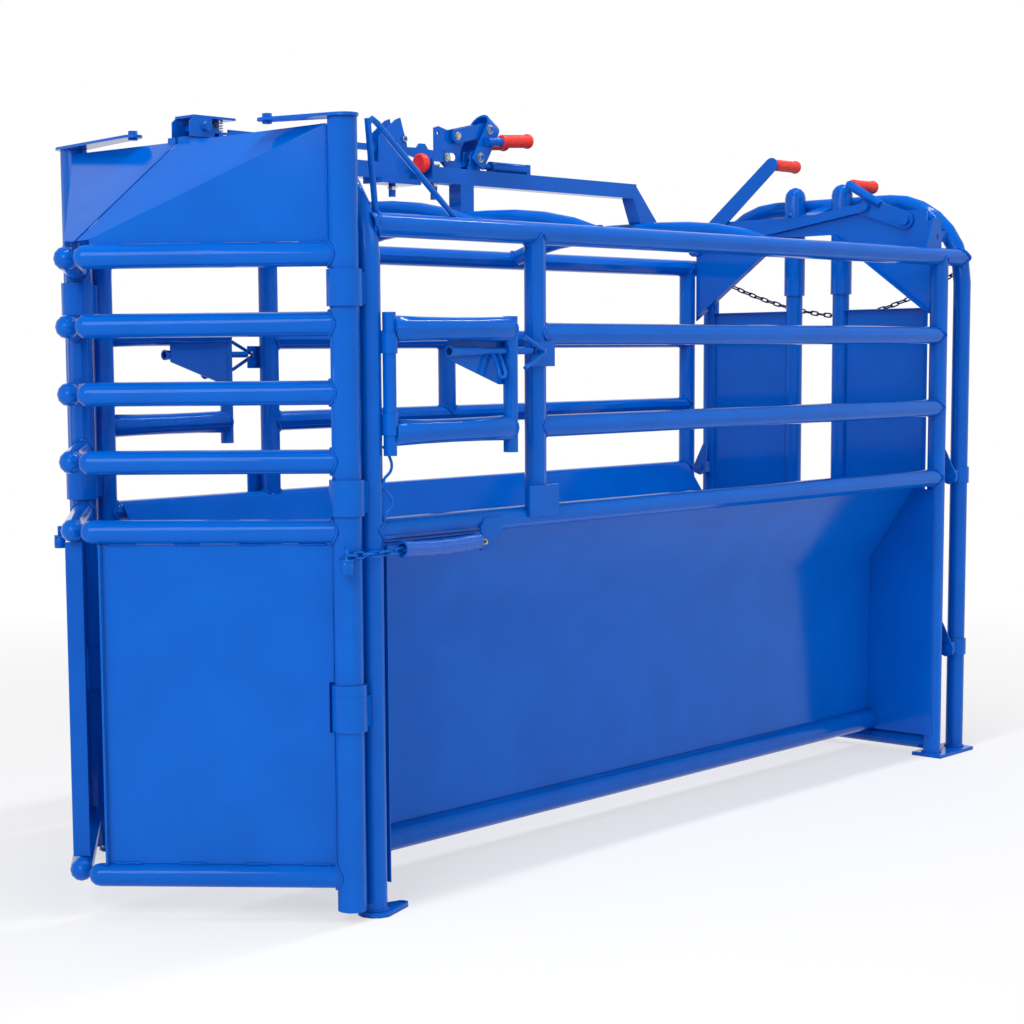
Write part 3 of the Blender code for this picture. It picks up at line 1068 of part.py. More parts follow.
def build_latch(pawl_joint):
    x0, x1 = LATCH_X
    low, high = LATCH_Z
    roof = box((x0 + 0.010, -LATCH_HALF, high), (0.010, LATCH_HALF, high + PLATE), "roof")
    for side, end in ((-1, PAWL_PIVOT[0] + 0.017), (1, 0.012)):
        y = side * (LATCH_HALF - 0.002)
        shape = [(x0, low), (end, low), (end, high + 0.002), (x0 + 0.012, high + 0.002), (x0, high - 0.008)]
        join(roof, flat(shape, 0.004, facing_y(y), "cheek", [circle(PAWL_PIVOT, PAWL_PIN_R + RUN, 12)]))
    seat_z = ARCH_TOP_Z + RAIL_R + GAP
    seat = box((-0.012, -LATCH_HALF, seat_z), (x1, LATCH_HALF, seat_z + 0.006), "seat")
    riser = box((-0.012, LATCH_HALF - 0.004, seat_z), (0.012, LATCH_HALF, low + 0.006), "riser")
    join(roof, seat, riser)
    keep(roof, "latch_box", BLUE)

    # Pawl: its notch drops over both catches
    tx, tz = PAWL_PIVOT
    z_floor = LATCH_Z[0] + 0.0012
    notch = CATCH_R + 0.0012
    arm_low, arm_top = z_floor + 0.008, z_floor + 0.013
    shape = [(tx - 0.012, tz - 0.006), (tx - 0.006, z_floor + 0.010), (CATCH_X - notch - 0.006, z_floor),
             (CATCH_X - notch, z_floor), (CATCH_X - notch, z_floor + 0.009), (CATCH_X + notch, z_floor + 0.009),
             (CATCH_X + notch, z_floor), (CATCH_X + notch + 0.006, z_floor), (-0.020, arm_low),
             (PAWL_TIP_X, arm_low), (PAWL_TIP_X, arm_top), (-0.026, arm_top), (tx + 0.012, tz + 0.008),
             (tx - 0.006, tz + 0.010)]
    width = 2 * (LATCH_HALF - 0.004 - SLIDE)
    pawl = flat(shape, width, facing_y(0.0), "pawl")
    pin = rod((tx, -LATCH_HALF - 0.003, tz), (tx, LATCH_HALF + 0.003, tz), PAWL_PIN_R, SIDES, "pawl_pin")
    head = rod((tx, -LATCH_HALF - 0.009, tz), (tx, -LATCH_HALF - 0.002, tz), 0.0105, 6, "pin_head")
    join(pawl, pin, head)
    slot_y = ROD_T / 2 + SLIDE
    slot_low = (NOSE_X - 0.003, ROD_Y - slot_y, z_floor - 0.01)
    cut(pawl, box(slot_low, (PAWL_TIP_X - 0.010, ROD_Y + slot_y, arm_top + 0.03), "nose_slot"))
    keep(pawl, "latch_pawl", ZINC, pawl_joint)

    # Spring between the pawl's tail and the roof
    spring_low = arm_top + GAP + SPRING_WIRE
    spring_high = high - GAP - SPRING_WIRE
    steps = SPRING_TURNS * 9
    points = []
    for i in range(steps + 1):
        t = i / steps
        a = 2 * math.pi * SPRING_TURNS * t
        z = spring_low + (spring_high - spring_low) * t
        points.append((SPRING_AT[0] + SPRING_R * math.cos(a), SPRING_AT[1] + SPRING_R * math.sin(a), z))
    rise = (spring_high - spring_low) / SPRING_TURNS
    print("latch spring: gap between turns", round(rise - 2 * SPRING_WIRE, 5))
    keep(bent(points, SPRING_WIRE, "spring", 1), "latch_spring", ZINC)


def build_safety_chain():
    """A chain hung between the rear arch's legs, with its spare end hanging from the lowest point."""
    low_y, low_z = CHAIN_LOW
    end_y = HALF_WIDTH - 0.0251

    def span(start_y, start_z, steps):
        points = []
        for i in range(steps + 1):
            t = i / steps
            points.append((CHAIN_X, start_y + (low_y - start_y) * t, low_z + (start_z - low_z) * (1 - t) ** 1.7))
        return points

    whole = span(-end_y, CHAIN_END_Z, 14) + span(end_y, CHAIN_END_Z, 16)[-2::-1]
    chain = bent(whole, CHAIN_R, "chain", 2)
    tail = bent([(CHAIN_X, low_y, low_z + 0.001), (CHAIN_X + 0.001, low_y + 0.001, (low_z + CHAIN_TAIL_Z) / 2),
                 (CHAIN_X, low_y, CHAIN_TAIL_Z)], CHAIN_R, "chain_tail", 2)
    join(chain, tail)
    keep(chain, "safety_chain", CHAIN)


def main():
    front_clear = arch_clearance(0.0)
    rear_clear = arch_clearance(REAR_ARCH_X)
    build_front_arch()
    build_rear_arch()
    for side, word in ((-1, "near"), (1, "far")):
        y = side * HALF_WIDTH
        build_side(side, word, front_clear, rear_clear)
        build_gate(side, word, pivot(word + "_gate_axis", (GATE_POST_X, y, 0.0)))
        build_spring_set(side, word)
        build_door(side, word, pivot(word + "_door_axis", (DOOR_X, y + side * DOOR_OUT, 0.0)))
        build_tail_half(side, word, pivot(word + "_tail_axis", (TAIL_X, side * TAIL_POST_Y, 0.0)))
    build_hoops()
    build_floor_tube()
    build_tail_header(rear_clear)
    near = pivot("near_lever_axis", (HEADER_X, across(-1, NEAR_PIVOT[0]), NEAR_PIVOT[1]))
    far = pivot("far_lever_axis", (HEADER_X, across(1, FAR_PIVOT[0]), FAR_PIVOT[1]))
    link = pivot("tail_link_axis", (HEADER_X, across(-1, NEAR_JOINT[0]), NEAR_JOINT[1]))
    build_tail_levers(near, far, link)
    build_release_beam()
    build_release(pivot("release_lever_axis", (LEVER_PIVOT[0], 0.0, LEVER_PIVOT[1])),
                  pivot("release_link_axis", (PLATE_JOINT[0], 0.0, PLATE_JOINT[1])),
                  pivot("release_pull_axis", (ROD_JOINT[0], 0.0, ROD_JOINT[1])),
                  pivot("release_knob_axis", KNOB_AT))
    build_latch(pivot("latch_pawl_axis", (PAWL_PIVOT[0], 0.0, PAWL_PIVOT[1])))
    build_safety_chain()


main()
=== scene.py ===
# Looks for the roping chute: coats, welds, fasteners, chains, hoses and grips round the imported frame.
# Metres, Z up. Places are given from the front arch (x), the middle plane (y) and the ground (z).
import json
import math

import bmesh
import bpy
from mathutils import Matrix, Vector

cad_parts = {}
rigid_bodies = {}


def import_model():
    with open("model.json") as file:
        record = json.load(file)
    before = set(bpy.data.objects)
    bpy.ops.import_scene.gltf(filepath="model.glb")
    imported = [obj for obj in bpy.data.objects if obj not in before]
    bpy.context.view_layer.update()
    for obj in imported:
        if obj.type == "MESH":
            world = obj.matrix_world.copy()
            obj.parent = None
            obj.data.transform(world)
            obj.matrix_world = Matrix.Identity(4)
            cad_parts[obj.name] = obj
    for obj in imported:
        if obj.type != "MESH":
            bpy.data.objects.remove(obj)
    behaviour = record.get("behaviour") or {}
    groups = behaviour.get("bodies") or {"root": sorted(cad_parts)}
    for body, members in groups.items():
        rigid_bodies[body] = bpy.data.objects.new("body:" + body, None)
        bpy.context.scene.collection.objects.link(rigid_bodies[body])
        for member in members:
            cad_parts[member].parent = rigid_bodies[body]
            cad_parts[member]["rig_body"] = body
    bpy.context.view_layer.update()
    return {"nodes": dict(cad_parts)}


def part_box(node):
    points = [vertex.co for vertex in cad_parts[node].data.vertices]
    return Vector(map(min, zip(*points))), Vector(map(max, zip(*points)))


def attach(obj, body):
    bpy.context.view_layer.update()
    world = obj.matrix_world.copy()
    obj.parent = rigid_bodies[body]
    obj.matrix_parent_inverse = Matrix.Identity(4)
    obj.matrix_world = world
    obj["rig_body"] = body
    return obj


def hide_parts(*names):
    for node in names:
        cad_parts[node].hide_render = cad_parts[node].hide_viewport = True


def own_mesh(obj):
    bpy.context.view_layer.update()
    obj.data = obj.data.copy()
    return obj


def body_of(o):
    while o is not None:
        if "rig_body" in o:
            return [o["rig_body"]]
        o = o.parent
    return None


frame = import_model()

chute = {
    "halfWidth": 0.428,
    "railRadius": 0.02415,
    "postRadius": 0.03015,
    "hoopRadius": 0.0211,
    "frontHoop": 0.333,
    "hoops": (0.333, 0.742, 1.420),
    "hoopSlope": 0.38,
    "rearArch": 2.361,
    "rearPost": 2.2345,
    "middlePost": 0.510,
    "farStrut": 1.1525,
    "topRail": 1.3975,
    "upperRail": 1.182,
    "lowerRail": 0.982,
    "sheetRail": 0.788,
}
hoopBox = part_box("front_hoop")
frontX = (hoopBox[0][0] + hoopBox[1][0]) / 2 - chute["frontHoop"]  # where the front arch stands


def place(x, y, z):
    return Vector((frontX + x, y, z))


def linear(hexColour):
    parts = [int(hexColour[i:i + 2], 16) / 255 for i in (1, 3, 5)]
    return [c / 12.92 if c <= 0.04045 else ((c + 0.055) / 1.055) ** 2.4 for c in parts] + [1.0]


def addNode(tree, kind, inputs=None, **settings):
    node = tree.nodes.new(kind)
    for name, value in settings.items():
        setattr(node, name, value)
    for key, value in (inputs or {}).items():
        if isinstance(value, bpy.types.NodeSocket):
            tree.links.new(value, node.inputs[key])
        else:
            node.inputs[key].default_value = value
    return node


def newMaterial(name):
    material = bpy.data.materials.new(name)
    material.use_nodes = True
    tree = material.node_tree
    tree.nodes.clear()
    shader = addNode(tree, "ShaderNodeBsdfPrincipled")
    addNode(tree, "ShaderNodeOutputMaterial", {"Surface": shader.outputs[0]})
    return material, tree, shader


def noise(tree, coordinates, scale, detail=3.0, rough=0.55):
    return addNode(tree, "ShaderNodeTexNoise", {"Vector": coordinates, "Scale": scale, "Detail": detail,
                                                "Roughness": rough}).outputs["Fac"]


def ranged(tree, value, fromLow, fromHigh, toLow, toHigh):
    return addNode(tree, "ShaderNodeMapRange", {"Value": value, "From Min": fromLow, "From Max": fromHigh,
                                                "To Min": toLow, "To Max": toHigh}).outputs["Result"]


def mixed(tree, factor, first, second, blend="MIX"):
    node = addNode(tree, "ShaderNodeMix", data_type="RGBA", blend_type=blend)
    for key, value in ((0, factor), (6, first), (7, second)):
        if isinstance(value, bpy.types.NodeSocket):
            tree.links.new(value, node.inputs[key])
        else:
            node.inputs[key].default_value = value
    return node.outputs[2]


def bumped(tree, height, strength, distance):
    return addNode(tree, "ShaderNodeBump", {"Height": height, "Strength": strength,
                                            "Distance": distance}).outputs[0]


# Camera: the photograph's place, lens and tilt

cameraFacts = {"at": (-2.9195, -3.3407, 1.130), "lens": 72.325, "shift": (0.09014, 0.06305),
               "yaw": 46.4056, "pitch": 6.0312, "roll": -0.5530}


def makeCamera():
    yaw, pitch, roll = (math.radians(cameraFacts[k]) for k in ("yaw", "pitch", "roll"))
    forward = Vector((math.sin(yaw) * math.cos(pitch), math.cos(yaw) * math.cos(pitch), -math.sin(pitch)))
    right = Vector((math.cos(yaw), -math.sin(yaw), 0.0))
    up = right.cross(forward)
    turnedRight = math.cos(roll) * right + math.sin(roll) * up
    turnedUp = -math.sin(roll) * right + math.cos(roll) * up
    data = bpy.data.cameras.new("camera")
    data.lens = cameraFacts["lens"]
    data.shift_x, data.shift_y = cameraFacts["shift"]
    camera = bpy.data.objects.new("camera", data)
    turn = Matrix((turnedRight, turnedUp, -forward)).transposed().to_4x4()
    camera.matrix_world = Matrix.Translation(place(*cameraFacts["at"])) @ turn
    bpy.context.scene.collection.objects.link(camera)
    bpy.context.scene.camera = camera


makeCamera()
print("camera placed")

# Studio: white floor and walls under a darker ceiling, one long thin lamp for the streaks and two soft ones

studio = {"floorSize": 30.0, "floorColour": "#F4F4F5", "floorTone": (0.985, 1.0), "toneScale": 1.5,
          "floorRoughness": 0.85, "floorSpecular": 0.1,
          "floorFade": (1.7, 4.5), "floorWhite": 0.6,  # how far out the floor starts and ends its fade to white
          "skyLight": 0.50, "skyWhite": 1.0, "ceiling": 0.30, "ceilingFade": (0.2, 0.7),
          "lamps": (  # name, place, aimed at, size, power
              ("overheadLamp", (0.2, -0.6, 4.2), (0.2, 0.0, 0.8), (5.0, 0.18), 95.0),
              ("frontLamp", (-4.6, -1.6, 3.0), (-0.4, 0.0, 0.9), (2.6, 2.0), 95.0),
              ("sideLamp", (0.6, -5.2, 3.4), (0.3, 0.0, 0.7), (4.0, 1.4), 40.0))}


def seenRays(tree):
    # 1 on what the camera, a reflection or glass sees of the white surroundings, 0 for the light they give
    path = addNode(tree, "ShaderNodeLightPath")
    seen = path.outputs["Is Camera Ray"]
    for ray in ("Is Glossy Ray", "Is Transmission Ray"):
        seen = addNode(tree, "ShaderNodeMath", {0: seen, 1: path.outputs[ray]}, operation="MAXIMUM").outputs[0]
    return seen


def makeStudio():
    mesh = bpy.data.meshes.new("floor")
    half = studio["floorSize"] / 2
    mesh.from_pydata([(-half, -half, 0), (half, -half, 0), (half, half, 0), (-half, half, 0)], [], [(0, 1, 2, 3)])
    floor = bpy.data.objects.new("floor", mesh)
    bpy.context.scene.collection.objects.link(floor)
    material, tree, shader = newMaterial("studioFloor")
    coordinates = addNode(tree, "ShaderNodeTexCoord").outputs["Object"]
    tone = ranged(tree, noise(tree, coordinates, studio["toneScale"]), 0.3, 0.7, *studio["floorTone"])
    colour = mixed(tree, 1.0, linear(studio["floorColour"]), tone, "MULTIPLY")
    tree.links.new(colour, shader.inputs["Base Color"])
    shader.inputs["Roughness"].default_value = studio["floorRoughness"]
    shader.inputs["Specular IOR Level"].default_value = studio["floorSpecular"]
    far = addNode(tree, "ShaderNodeVectorMath", {0: coordinates}, operation="LENGTH").outputs["Value"]
    fade = ranged(tree, far, *studio["floorFade"], studio["floorWhite"], 1.0)
    whiteness = addNode(tree, "ShaderNodeMath", {0: fade, 1: seenRays(tree)}, operation="MULTIPLY").outputs[0]
    glow = addNode(tree, "ShaderNodeEmission", {"Color": (1.0, 1.0, 1.0, 1.0), "Strength": 1.0})
    output = shader.outputs[0].links[0].to_node
    blend = addNode(tree, "ShaderNodeMixShader", {0: whiteness, 1: shader.outputs[0], 2: glow.outputs[0]})
    tree.links.new(blend.outputs[0], output.inputs["Surface"])
    mesh.materials.append(material)
    world = bpy.data.worlds.new("studioSky")
    bpy.context.scene.world = world
    world.use_nodes = True
    tree = world.node_tree
    tree.nodes.clear()
    direction = addNode(tree, "ShaderNodeTexCoord").outputs["Generated"]
    height = addNode(tree, "ShaderNodeSeparateXYZ", {"Vector": direction}).outputs["Z"]
    shown = ranged(tree, height, *studio["ceilingFade"], studio["skyWhite"], studio["ceiling"])
    level = ranged(tree, seenRays(tree), 0.0, 1.0, studio["skyLight"], shown)
    sky = addNode(tree, "ShaderNodeBackground", {"Color": (1.0, 1.0, 1.0, 1.0), "Strength": level})
    addNode(tree, "ShaderNodeOutputWorld", {"Surface": sky.outputs[0]})
    for name, at, target, size, power in studio["lamps"]:
        data = bpy.data.lights.new(name, "AREA")
        data.shape = "RECTANGLE"
        data.size, data.size_y = size
        data.energy = power
        lamp = bpy.data.objects.new(name, data)
        lamp.location = at
        lamp.rotation_mode = "QUATERNION"
        lamp.rotation_quaternion = (Vector(target) - Vector(at)).to_track_quat("-Z", "Y")
        bpy.context.scene.collection.objects.link(lamp)
    bpy.context.scene.view_settings.view_transform = "Standard"


makeStudio()
print("studio lit")

# Powder coat: its darkest colour is painted shade for the hollows, reaching out the given distance from nearby surfaces
coat = {"colour": "#0061CA", "deepColour": "#005ABF", "cloudScale": 7.0, "paintedShadeColour": "#004394",
        "paintedShadeReach": 0.018, "roughness": (0.10, 0.15), "smearScale": 26.0, "peelMm": 3.2, "peelStrength": 0.12,
        "peelHeight": 0.00003, "specular": 0.13, "gloss": 0.03, "glossRoughness": 0.1}


def powderCoat(name="royalBluePowderCoat", peel=1.0, tint=None):
    # Polyester powder coat on steel: a deep clean blue, glossy, with faint orange peel, and painted shade in the
    # hollows
    material, tree, shader = newMaterial(name)
    coordinates = addNode(tree, "ShaderNodeTexCoord").outputs["Object"]
    cloud = noise(tree, coordinates, coat["cloudScale"])
    colour = mixed(tree, ranged(tree, cloud, 0.35, 0.7, 0.0, 0.8), linear(tint or coat["colour"]),
                   linear(coat["deepColour"]))
    occlusion = addNode(tree, "ShaderNodeAmbientOcclusion", {"Distance": coat["paintedShadeReach"]}, samples=4).outputs["AO"]
    shade = ranged(tree, occlusion, 0.25, 0.75, 0.55, 0.0)  # painted shade where tubes and plates meet
    colour = mixed(tree, shade, colour, linear(coat["paintedShadeColour"]))
    tree.links.new(colour, shader.inputs["Base Color"])
    low, high = coat["roughness"]
    smear = noise(tree, coordinates, coat["smearScale"], 5.0, 0.6)
    tree.links.new(ranged(tree, smear, 0.3, 0.75, low, high), shader.inputs["Roughness"])
    dimples = noise(tree, coordinates, 1000 / coat["peelMm"], 0.0)
    bump = bumped(tree, dimples, coat["peelStrength"] * peel, coat["peelHeight"])
    tree.links.new(bump, shader.inputs["Normal"])
    shader.inputs["Specular IOR Level"].default_value = coat["specular"]
    shader.inputs["Coat Weight"].default_value = coat["gloss"]
    shader.inputs["Coat Roughness"].default_value = coat["glossRoughness"]
    return material


grip = {"colour": "#E8241A", "paleColour": "#F03A2A", "rubScale": 60.0, "roughness": (0.34, 0.5), "smearScale": 90.0,
        "grainMm": 1.2, "grainStrength": 0.4, "grainHeight": 0.0001, "softWeight": 0.08, "softDepth": 0.004}


def gripVinyl():
    # Dip-moulded PVC: warm red, soft sheen, a fine pebble and paler where hands rub
    material, tree, shader = newMaterial("redGripVinyl")
    coordinates = addNode(tree, "ShaderNodeTexCoord").outputs["Object"]
    rub = ranged(tree, noise(tree, coordinates, grip["rubScale"]), 0.4, 0.7, 0.0, 0.7)
    colour = mixed(tree, rub, linear(grip["colour"]), linear(grip["paleColour"]))
    tree.links.new(colour, shader.inputs["Base Color"])
    low, high = grip["roughness"]
    smear = noise(tree, coordinates, grip["smearScale"])
    tree.links.new(ranged(tree, smear, 0.3, 0.7, low, high), shader.inputs["Roughness"])
    pebble = noise(tree, coordinates, 1000 / grip["grainMm"], 1.0)
    tree.links.new(bumped(tree, pebble, grip["grainStrength"], grip["grainHeight"]), shader.inputs["Normal"])
    shader.inputs["Subsurface Weight"].default_value = grip["softWeight"]
    shader.inputs["Subsurface Scale"].default_value = grip["softDepth"]
    return material


zinc = {"colour": "#C9CBC8", "shadeColour": "#9FA4A6", "cloudScale": 140.0, "roughness": (0.22, 0.42),
        "smearScale": 300.0, "markScale": 900.0, "markStrength": 0.15, "markHeight": 0.00005}


def zincPlate(name="brightZincPlate", colour=None, shade=None, roughness=None):
    # Electroplated zinc: cool silver, faint cloudy spangle, fine turning marks
    material, tree, shader = newMaterial(name)
    coordinates = addNode(tree, "ShaderNodeTexCoord").outputs["Object"]
    cloud = ranged(tree, noise(tree, coordinates, zinc["cloudScale"], 4.0), 0.35, 0.7, 0.0, 1.0)
    tone = mixed(tree, cloud, linear(colour or zinc["colour"]), linear(shade or zinc["shadeColour"]))
    tree.links.new(tone, shader.inputs["Base Color"])
    low, high = roughness or zinc["roughness"]
    smear = noise(tree, coordinates, zinc["smearScale"])
    tree.links.new(ranged(tree, smear, 0.3, 0.7, low, high), shader.inputs["Roughness"])
    marks = noise(tree, coordinates, zinc["markScale"])
    tree.links.new(bumped(tree, marks, zinc["markStrength"], zinc["markHeight"]), shader.inputs["Normal"])
    shader.inputs["Metallic"].default_value = 1.0
    return material


hose = {"colour": "#0B57BE", "toneScale": 30.0, "roughness": (0.24, 0.38), "smearScale": 80.0, "grainScale": 600.0,
        "grainStrength": 0.2, "grainHeight": 0.0001}


def hoseVinyl():
    # Braid-reinforced PVC hose: glossy blue and finely grained; the mesh carries the crossed ridges
    material, tree, shader = newMaterial("blueBraidedHose")
    coordinates = addNode(tree, "ShaderNodeTexCoord").outputs["Object"]
    low, high = hose["roughness"]
    smear = noise(tree, coordinates, hose["smearScale"])
    tree.links.new(ranged(tree, smear, 0.3, 0.7, low, high), shader.inputs["Roughness"])
    tone = ranged(tree, noise(tree, coordinates, hose["toneScale"], 4.0), 0.3, 0.7, 0.0, 1.0)
    colour = mixed(tree, tone, linear(hose["colour"]), linear(coat["deepColour"]))
    tree.links.new(colour, shader.inputs["Base Color"])
    grain = noise(tree, coordinates, hose["grainScale"])
    tree.links.new(bumped(tree, grain, hose["grainStrength"], hose["grainHeight"]), shader.inputs["Normal"])
    return material


blueCoat = powderCoat()
weldBlue = powderCoat("coatOverWeldBeads", 3.0, "#0060D0")  # the same coat, thicker and rounder over the beads
redVinyl = gripVinyl()
brightZinc = zincPlate()
brassPlate = zincPlate("yellowChromatePlate", "#D8B878", "#A98A4E", (0.2, 0.36))  # zinc under chromate: pale gold
chainSteel = zincPlate("navyCoatedChain", "#2A3E78", "#1B2A55", (0.3, 0.5))  # dark coated links, still a little bright
braidedHose = hoseVinyl()

safetyChain = {"x": 2.3785, "endHeight": 1.360, "endIn": 0.0251, "low": (-0.042, 1.244), "tailHeight": 1.115,
               "tailSlack": 0.014, "sag": 1.7, "nearSteps": 14, "farSteps": 16, "insetPitches": 0.45,
               "pitch": 0.0227, "wire": 0.0044, "width": 0.0150}


def linkMesh(name, pitch, wire, width, around=8, corner=5):
    # One oval link lying along X, long enough that its neighbours bear on its rounds
    half = width / 2 - wire / 2
    straight = pitch / 2 + wire / 2 - half
    path = []
    for side in (1, -1):
        for i in range(corner + 1):
            a = math.pi * (i / corner - 0.5)
            path.append((side * (straight + half * math.cos(a)), side * half * math.sin(a)))
    work = bmesh.new()
    rings = []
    count = len(path)
    for i, (x, y) in enumerate(path):
        (x0, y0), (x1, y1) = path[i - 1], path[(i + 1) % count]
        along = Vector((x1 - x0, y1 - y0, 0)).normalized()
        out = Vector((along.y, -along.x, 0))
        rings.append([work.verts.new(Vector((x, y, 0)) + out * (wire / 2 * math.cos(2 * math.pi * k / around))
                                     + Vector((0, 0, wire / 2 * math.sin(2 * math.pi * k / around))))
                      for k in range(around)])
    for i in range(count):
        first, second = rings[i], rings[(i + 1) % count]
        for k in range(around):
            work.faces.new((first[k], first[(k + 1) % around], second[(k + 1) % around], second[k]))
    bmesh.ops.recalc_face_normals(work, faces=work.faces)
    return meshFrom(work, name)


def meshFrom(work, name, smooth=True):
    mesh = bpy.data.meshes.new(name)
    work.to_mesh(mesh)
    work.free()
    if smooth:
        mesh.shade_smooth()
    return mesh


def piece(name, mesh, material, body, replaced=()):
    obj = bpy.data.objects.new(name, mesh)
    bpy.context.scene.collection.objects.link(obj)
    mesh.materials.clear()
    mesh.materials.append(material)
    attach(obj, body)
    if replaced:
        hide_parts(*replaced)
    return obj


def stringTree():
    # Items strung along every path of a mesh of edges, each turned a little more than the last
    tree = bpy.data.node_groups.new("itemsAlongPath", "GeometryNodeTree")
    tree.interface.new_socket("paths", in_out="INPUT", socket_type="NodeSocketGeometry")
    for label, kind in (("spacing", "NodeSocketFloat"), ("item", "NodeSocketObject"), ("turn", "NodeSocketFloat"),
                        ("finish", "NodeSocketMaterial")):
        tree.interface.new_socket(label, in_out="INPUT", socket_type=kind)
    tree.interface.new_socket("pieces", in_out="OUTPUT", socket_type="NodeSocketGeometry")
    given = addNode(tree, "NodeGroupInput").outputs
    curve = addNode(tree, "GeometryNodeMeshToCurve", {0: given["paths"]}).outputs[0]
    points = addNode(tree, "GeometryNodeResampleCurve", {"Curve": curve, "Length": given["spacing"]}, mode="LENGTH")
    tangent = addNode(tree, "GeometryNodeInputTangent").outputs[0]
    aim = addNode(tree, "FunctionNodeAlignRotationToVector", {"Vector": tangent}, axis="X").outputs[0]
    index = addNode(tree, "GeometryNodeInputIndex").outputs[0]
    angle = addNode(tree, "ShaderNodeMath", {0: index, 1: given["turn"]}, operation="MULTIPLY").outputs[0]
    twist = addNode(tree, "FunctionNodeAxisAngleToRotation", {"Axis": (1.0, 0.0, 0.0), "Angle": angle}).outputs[0]
    turned = addNode(tree, "FunctionNodeRotateRotation", {"Rotation": aim, "Rotate By": twist},
                     rotation_space="LOCAL").outputs[0]
    item = addNode(tree, "GeometryNodeObjectInfo", {"Object": given["item"]}).outputs["Geometry"]
    strung = addNode(tree, "GeometryNodeInstanceOnPoints", {"Points": points.outputs[0], "Instance": item,
                                                            "Rotation": turned}).outputs[0]
    real = addNode(tree, "GeometryNodeRealizeInstances", {"Geometry": strung}).outputs[0]
    done = addNode(tree, "GeometryNodeSetMaterial", {"Geometry": real, "Material": given["finish"]}).outputs[0]
    addNode(tree, "NodeGroupOutput", {0: done})
    return tree


alongPath = stringTree()


def strungPieces(name, paths, itemMesh, spacing, turn, material, body, replaced=()):
    # paths: a list of (points, closed)
    verts, edges = [], []
    for points, closed in paths:
        first = len(verts)
        verts += [tuple(p) for p in points]
        edges += [(first + i, first + i + 1) for i in range(len(points) - 1)]
        if closed:
            edges.append((len(verts) - 1, first))
    mesh = bpy.data.meshes.new(name + "Paths")
    mesh.from_pydata(verts, edges, [])
    carrier = bpy.data.objects.new(name + "Paths", mesh)
    item = bpy.data.objects.new(name + "Item", itemMesh)
    for obj in (carrier, item):
        bpy.context.scene.collection.objects.link(obj)
    modifier = carrier.modifiers.new("strung", "NODES")
    modifier.node_group = alongPath
    values = {"spacing": spacing, "item": item, "turn": turn, "finish": material}
    for socket in alongPath.interface.items_tree:
        if socket.in_out == "INPUT" and socket.name in values:
            modifier[socket.identifier] = values[socket.name]
    graph = bpy.context.evaluated_depsgraph_get()
    made = bpy.data.meshes.new_from_object(carrier.evaluated_get(graph))
    for obj in (carrier, item):
        bpy.data.objects.remove(obj)
    return piece(name, made, material, body, replaced)


def hangingSpan(startY, steps):
    lowY, lowZ = safetyChain["low"]
    rise = safetyChain["endHeight"] - lowZ
    return [place(safetyChain["x"], startY + (lowY - startY) * i / steps,
                  lowZ + rise * (1 - i / steps) ** safetyChain["sag"]) for i in range(steps + 1)]


def makeSafetyChain():
    end = chute["halfWidth"] - safetyChain["endIn"]
    route = hangingSpan(-end, safetyChain["nearSteps"]) + hangingSpan(end, safetyChain["farSteps"])[-2::-1]
    link = linkMesh("safetyLink", safetyChain["pitch"], safetyChain["wire"], safetyChain["width"])
    pitch = safetyChain["pitch"]
    inset = safetyChain["insetPitches"] * pitch
    strung = [route[0] + (route[1] - route[0]).normalized() * inset] + route[1:-1]
    strung.append(route[-1] + (route[-2] - route[-1]).normalized() * inset)
    chain = strungPieces("safetyChainLinks", [(strung, False)], link, pitch, math.pi / 2, chainSteel, "frame",
                         ("safety_chain",))
    lowY, lowZ = safetyChain["low"]
    tail = [place(safetyChain["x"], lowY, lowZ - 0.5 * pitch),
            place(safetyChain["x"], lowY, safetyChain["tailHeight"] + safetyChain["tailSlack"])]
    tailLink = linkMesh("tailLink", pitch, safetyChain["wire"], safetyChain["width"])
    spare = strungPieces("safetyChainTail", [(tail, False)], tailLink, pitch, math.pi / 2, chainSteel, "frame")


makeSafetyChain()
print("safety chain hung")


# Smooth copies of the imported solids: flats of the round tubes read as round
smoothing = {"mergeMm": 0.02, "flatAngle": 0.5, "sharpAngle": 35, "tubeSharp": 40, "turnedSharp": 38, "hoseSharp": 50}


def smoothCopy(name, node):
    mesh = node.data.copy()
    mesh.transform(node.matrix_world)
    work = bmesh.new()
    work.from_mesh(mesh)
    bmesh.ops.remove_doubles(work, verts=work.verts, dist=smoothing["mergeMm"] / 1000)
    bmesh.ops.dissolve_limit(work, angle_limit=math.radians(smoothing["flatAngle"]), verts=work.verts, edges=work.edges)
    work.to_mesh(mesh)
    work.free()
    mesh.shade_smooth()
    mesh.set_sharp_from_angle(angle=math.radians(smoothing["sharpAngle"]))
    holder = bpy.data.objects.new(name + "Holder", mesh)
    bpy.context.scene.collection.objects.link(holder)
    weighted = holder.modifiers.new("weighted", "WEIGHTED_NORMAL")
    weighted.keep_sharp = True
    graph = bpy.context.evaluated_depsgraph_get()
    made = bpy.data.meshes.new_from_object(holder.evaluated_get(graph))
    bpy.data.objects.remove(holder)
    return piece(name + "_coated", made, finishOf(name), body_of(node)[0], (name,))


nodeFinish = {"release_knob": redVinyl}
madeElsewhere = ("safety_chain", "spring_chain", "spring_sleeve", "tail_grip", "release_grip", "latch_spring",
                 "release_knob")


def finishOf(name):
    return nodeFinish.get(name, blueCoat)


for nodeName, node in sorted(frame["nodes"].items()):
    for materialSlot in node.material_slots:
        materialSlot.material = finishOf(nodeName)
    if not any(word in nodeName for word in madeElsewhere):
        smoothCopy(nodeName, node)
print("finishes on", len(frame["nodes"]), "nodes")


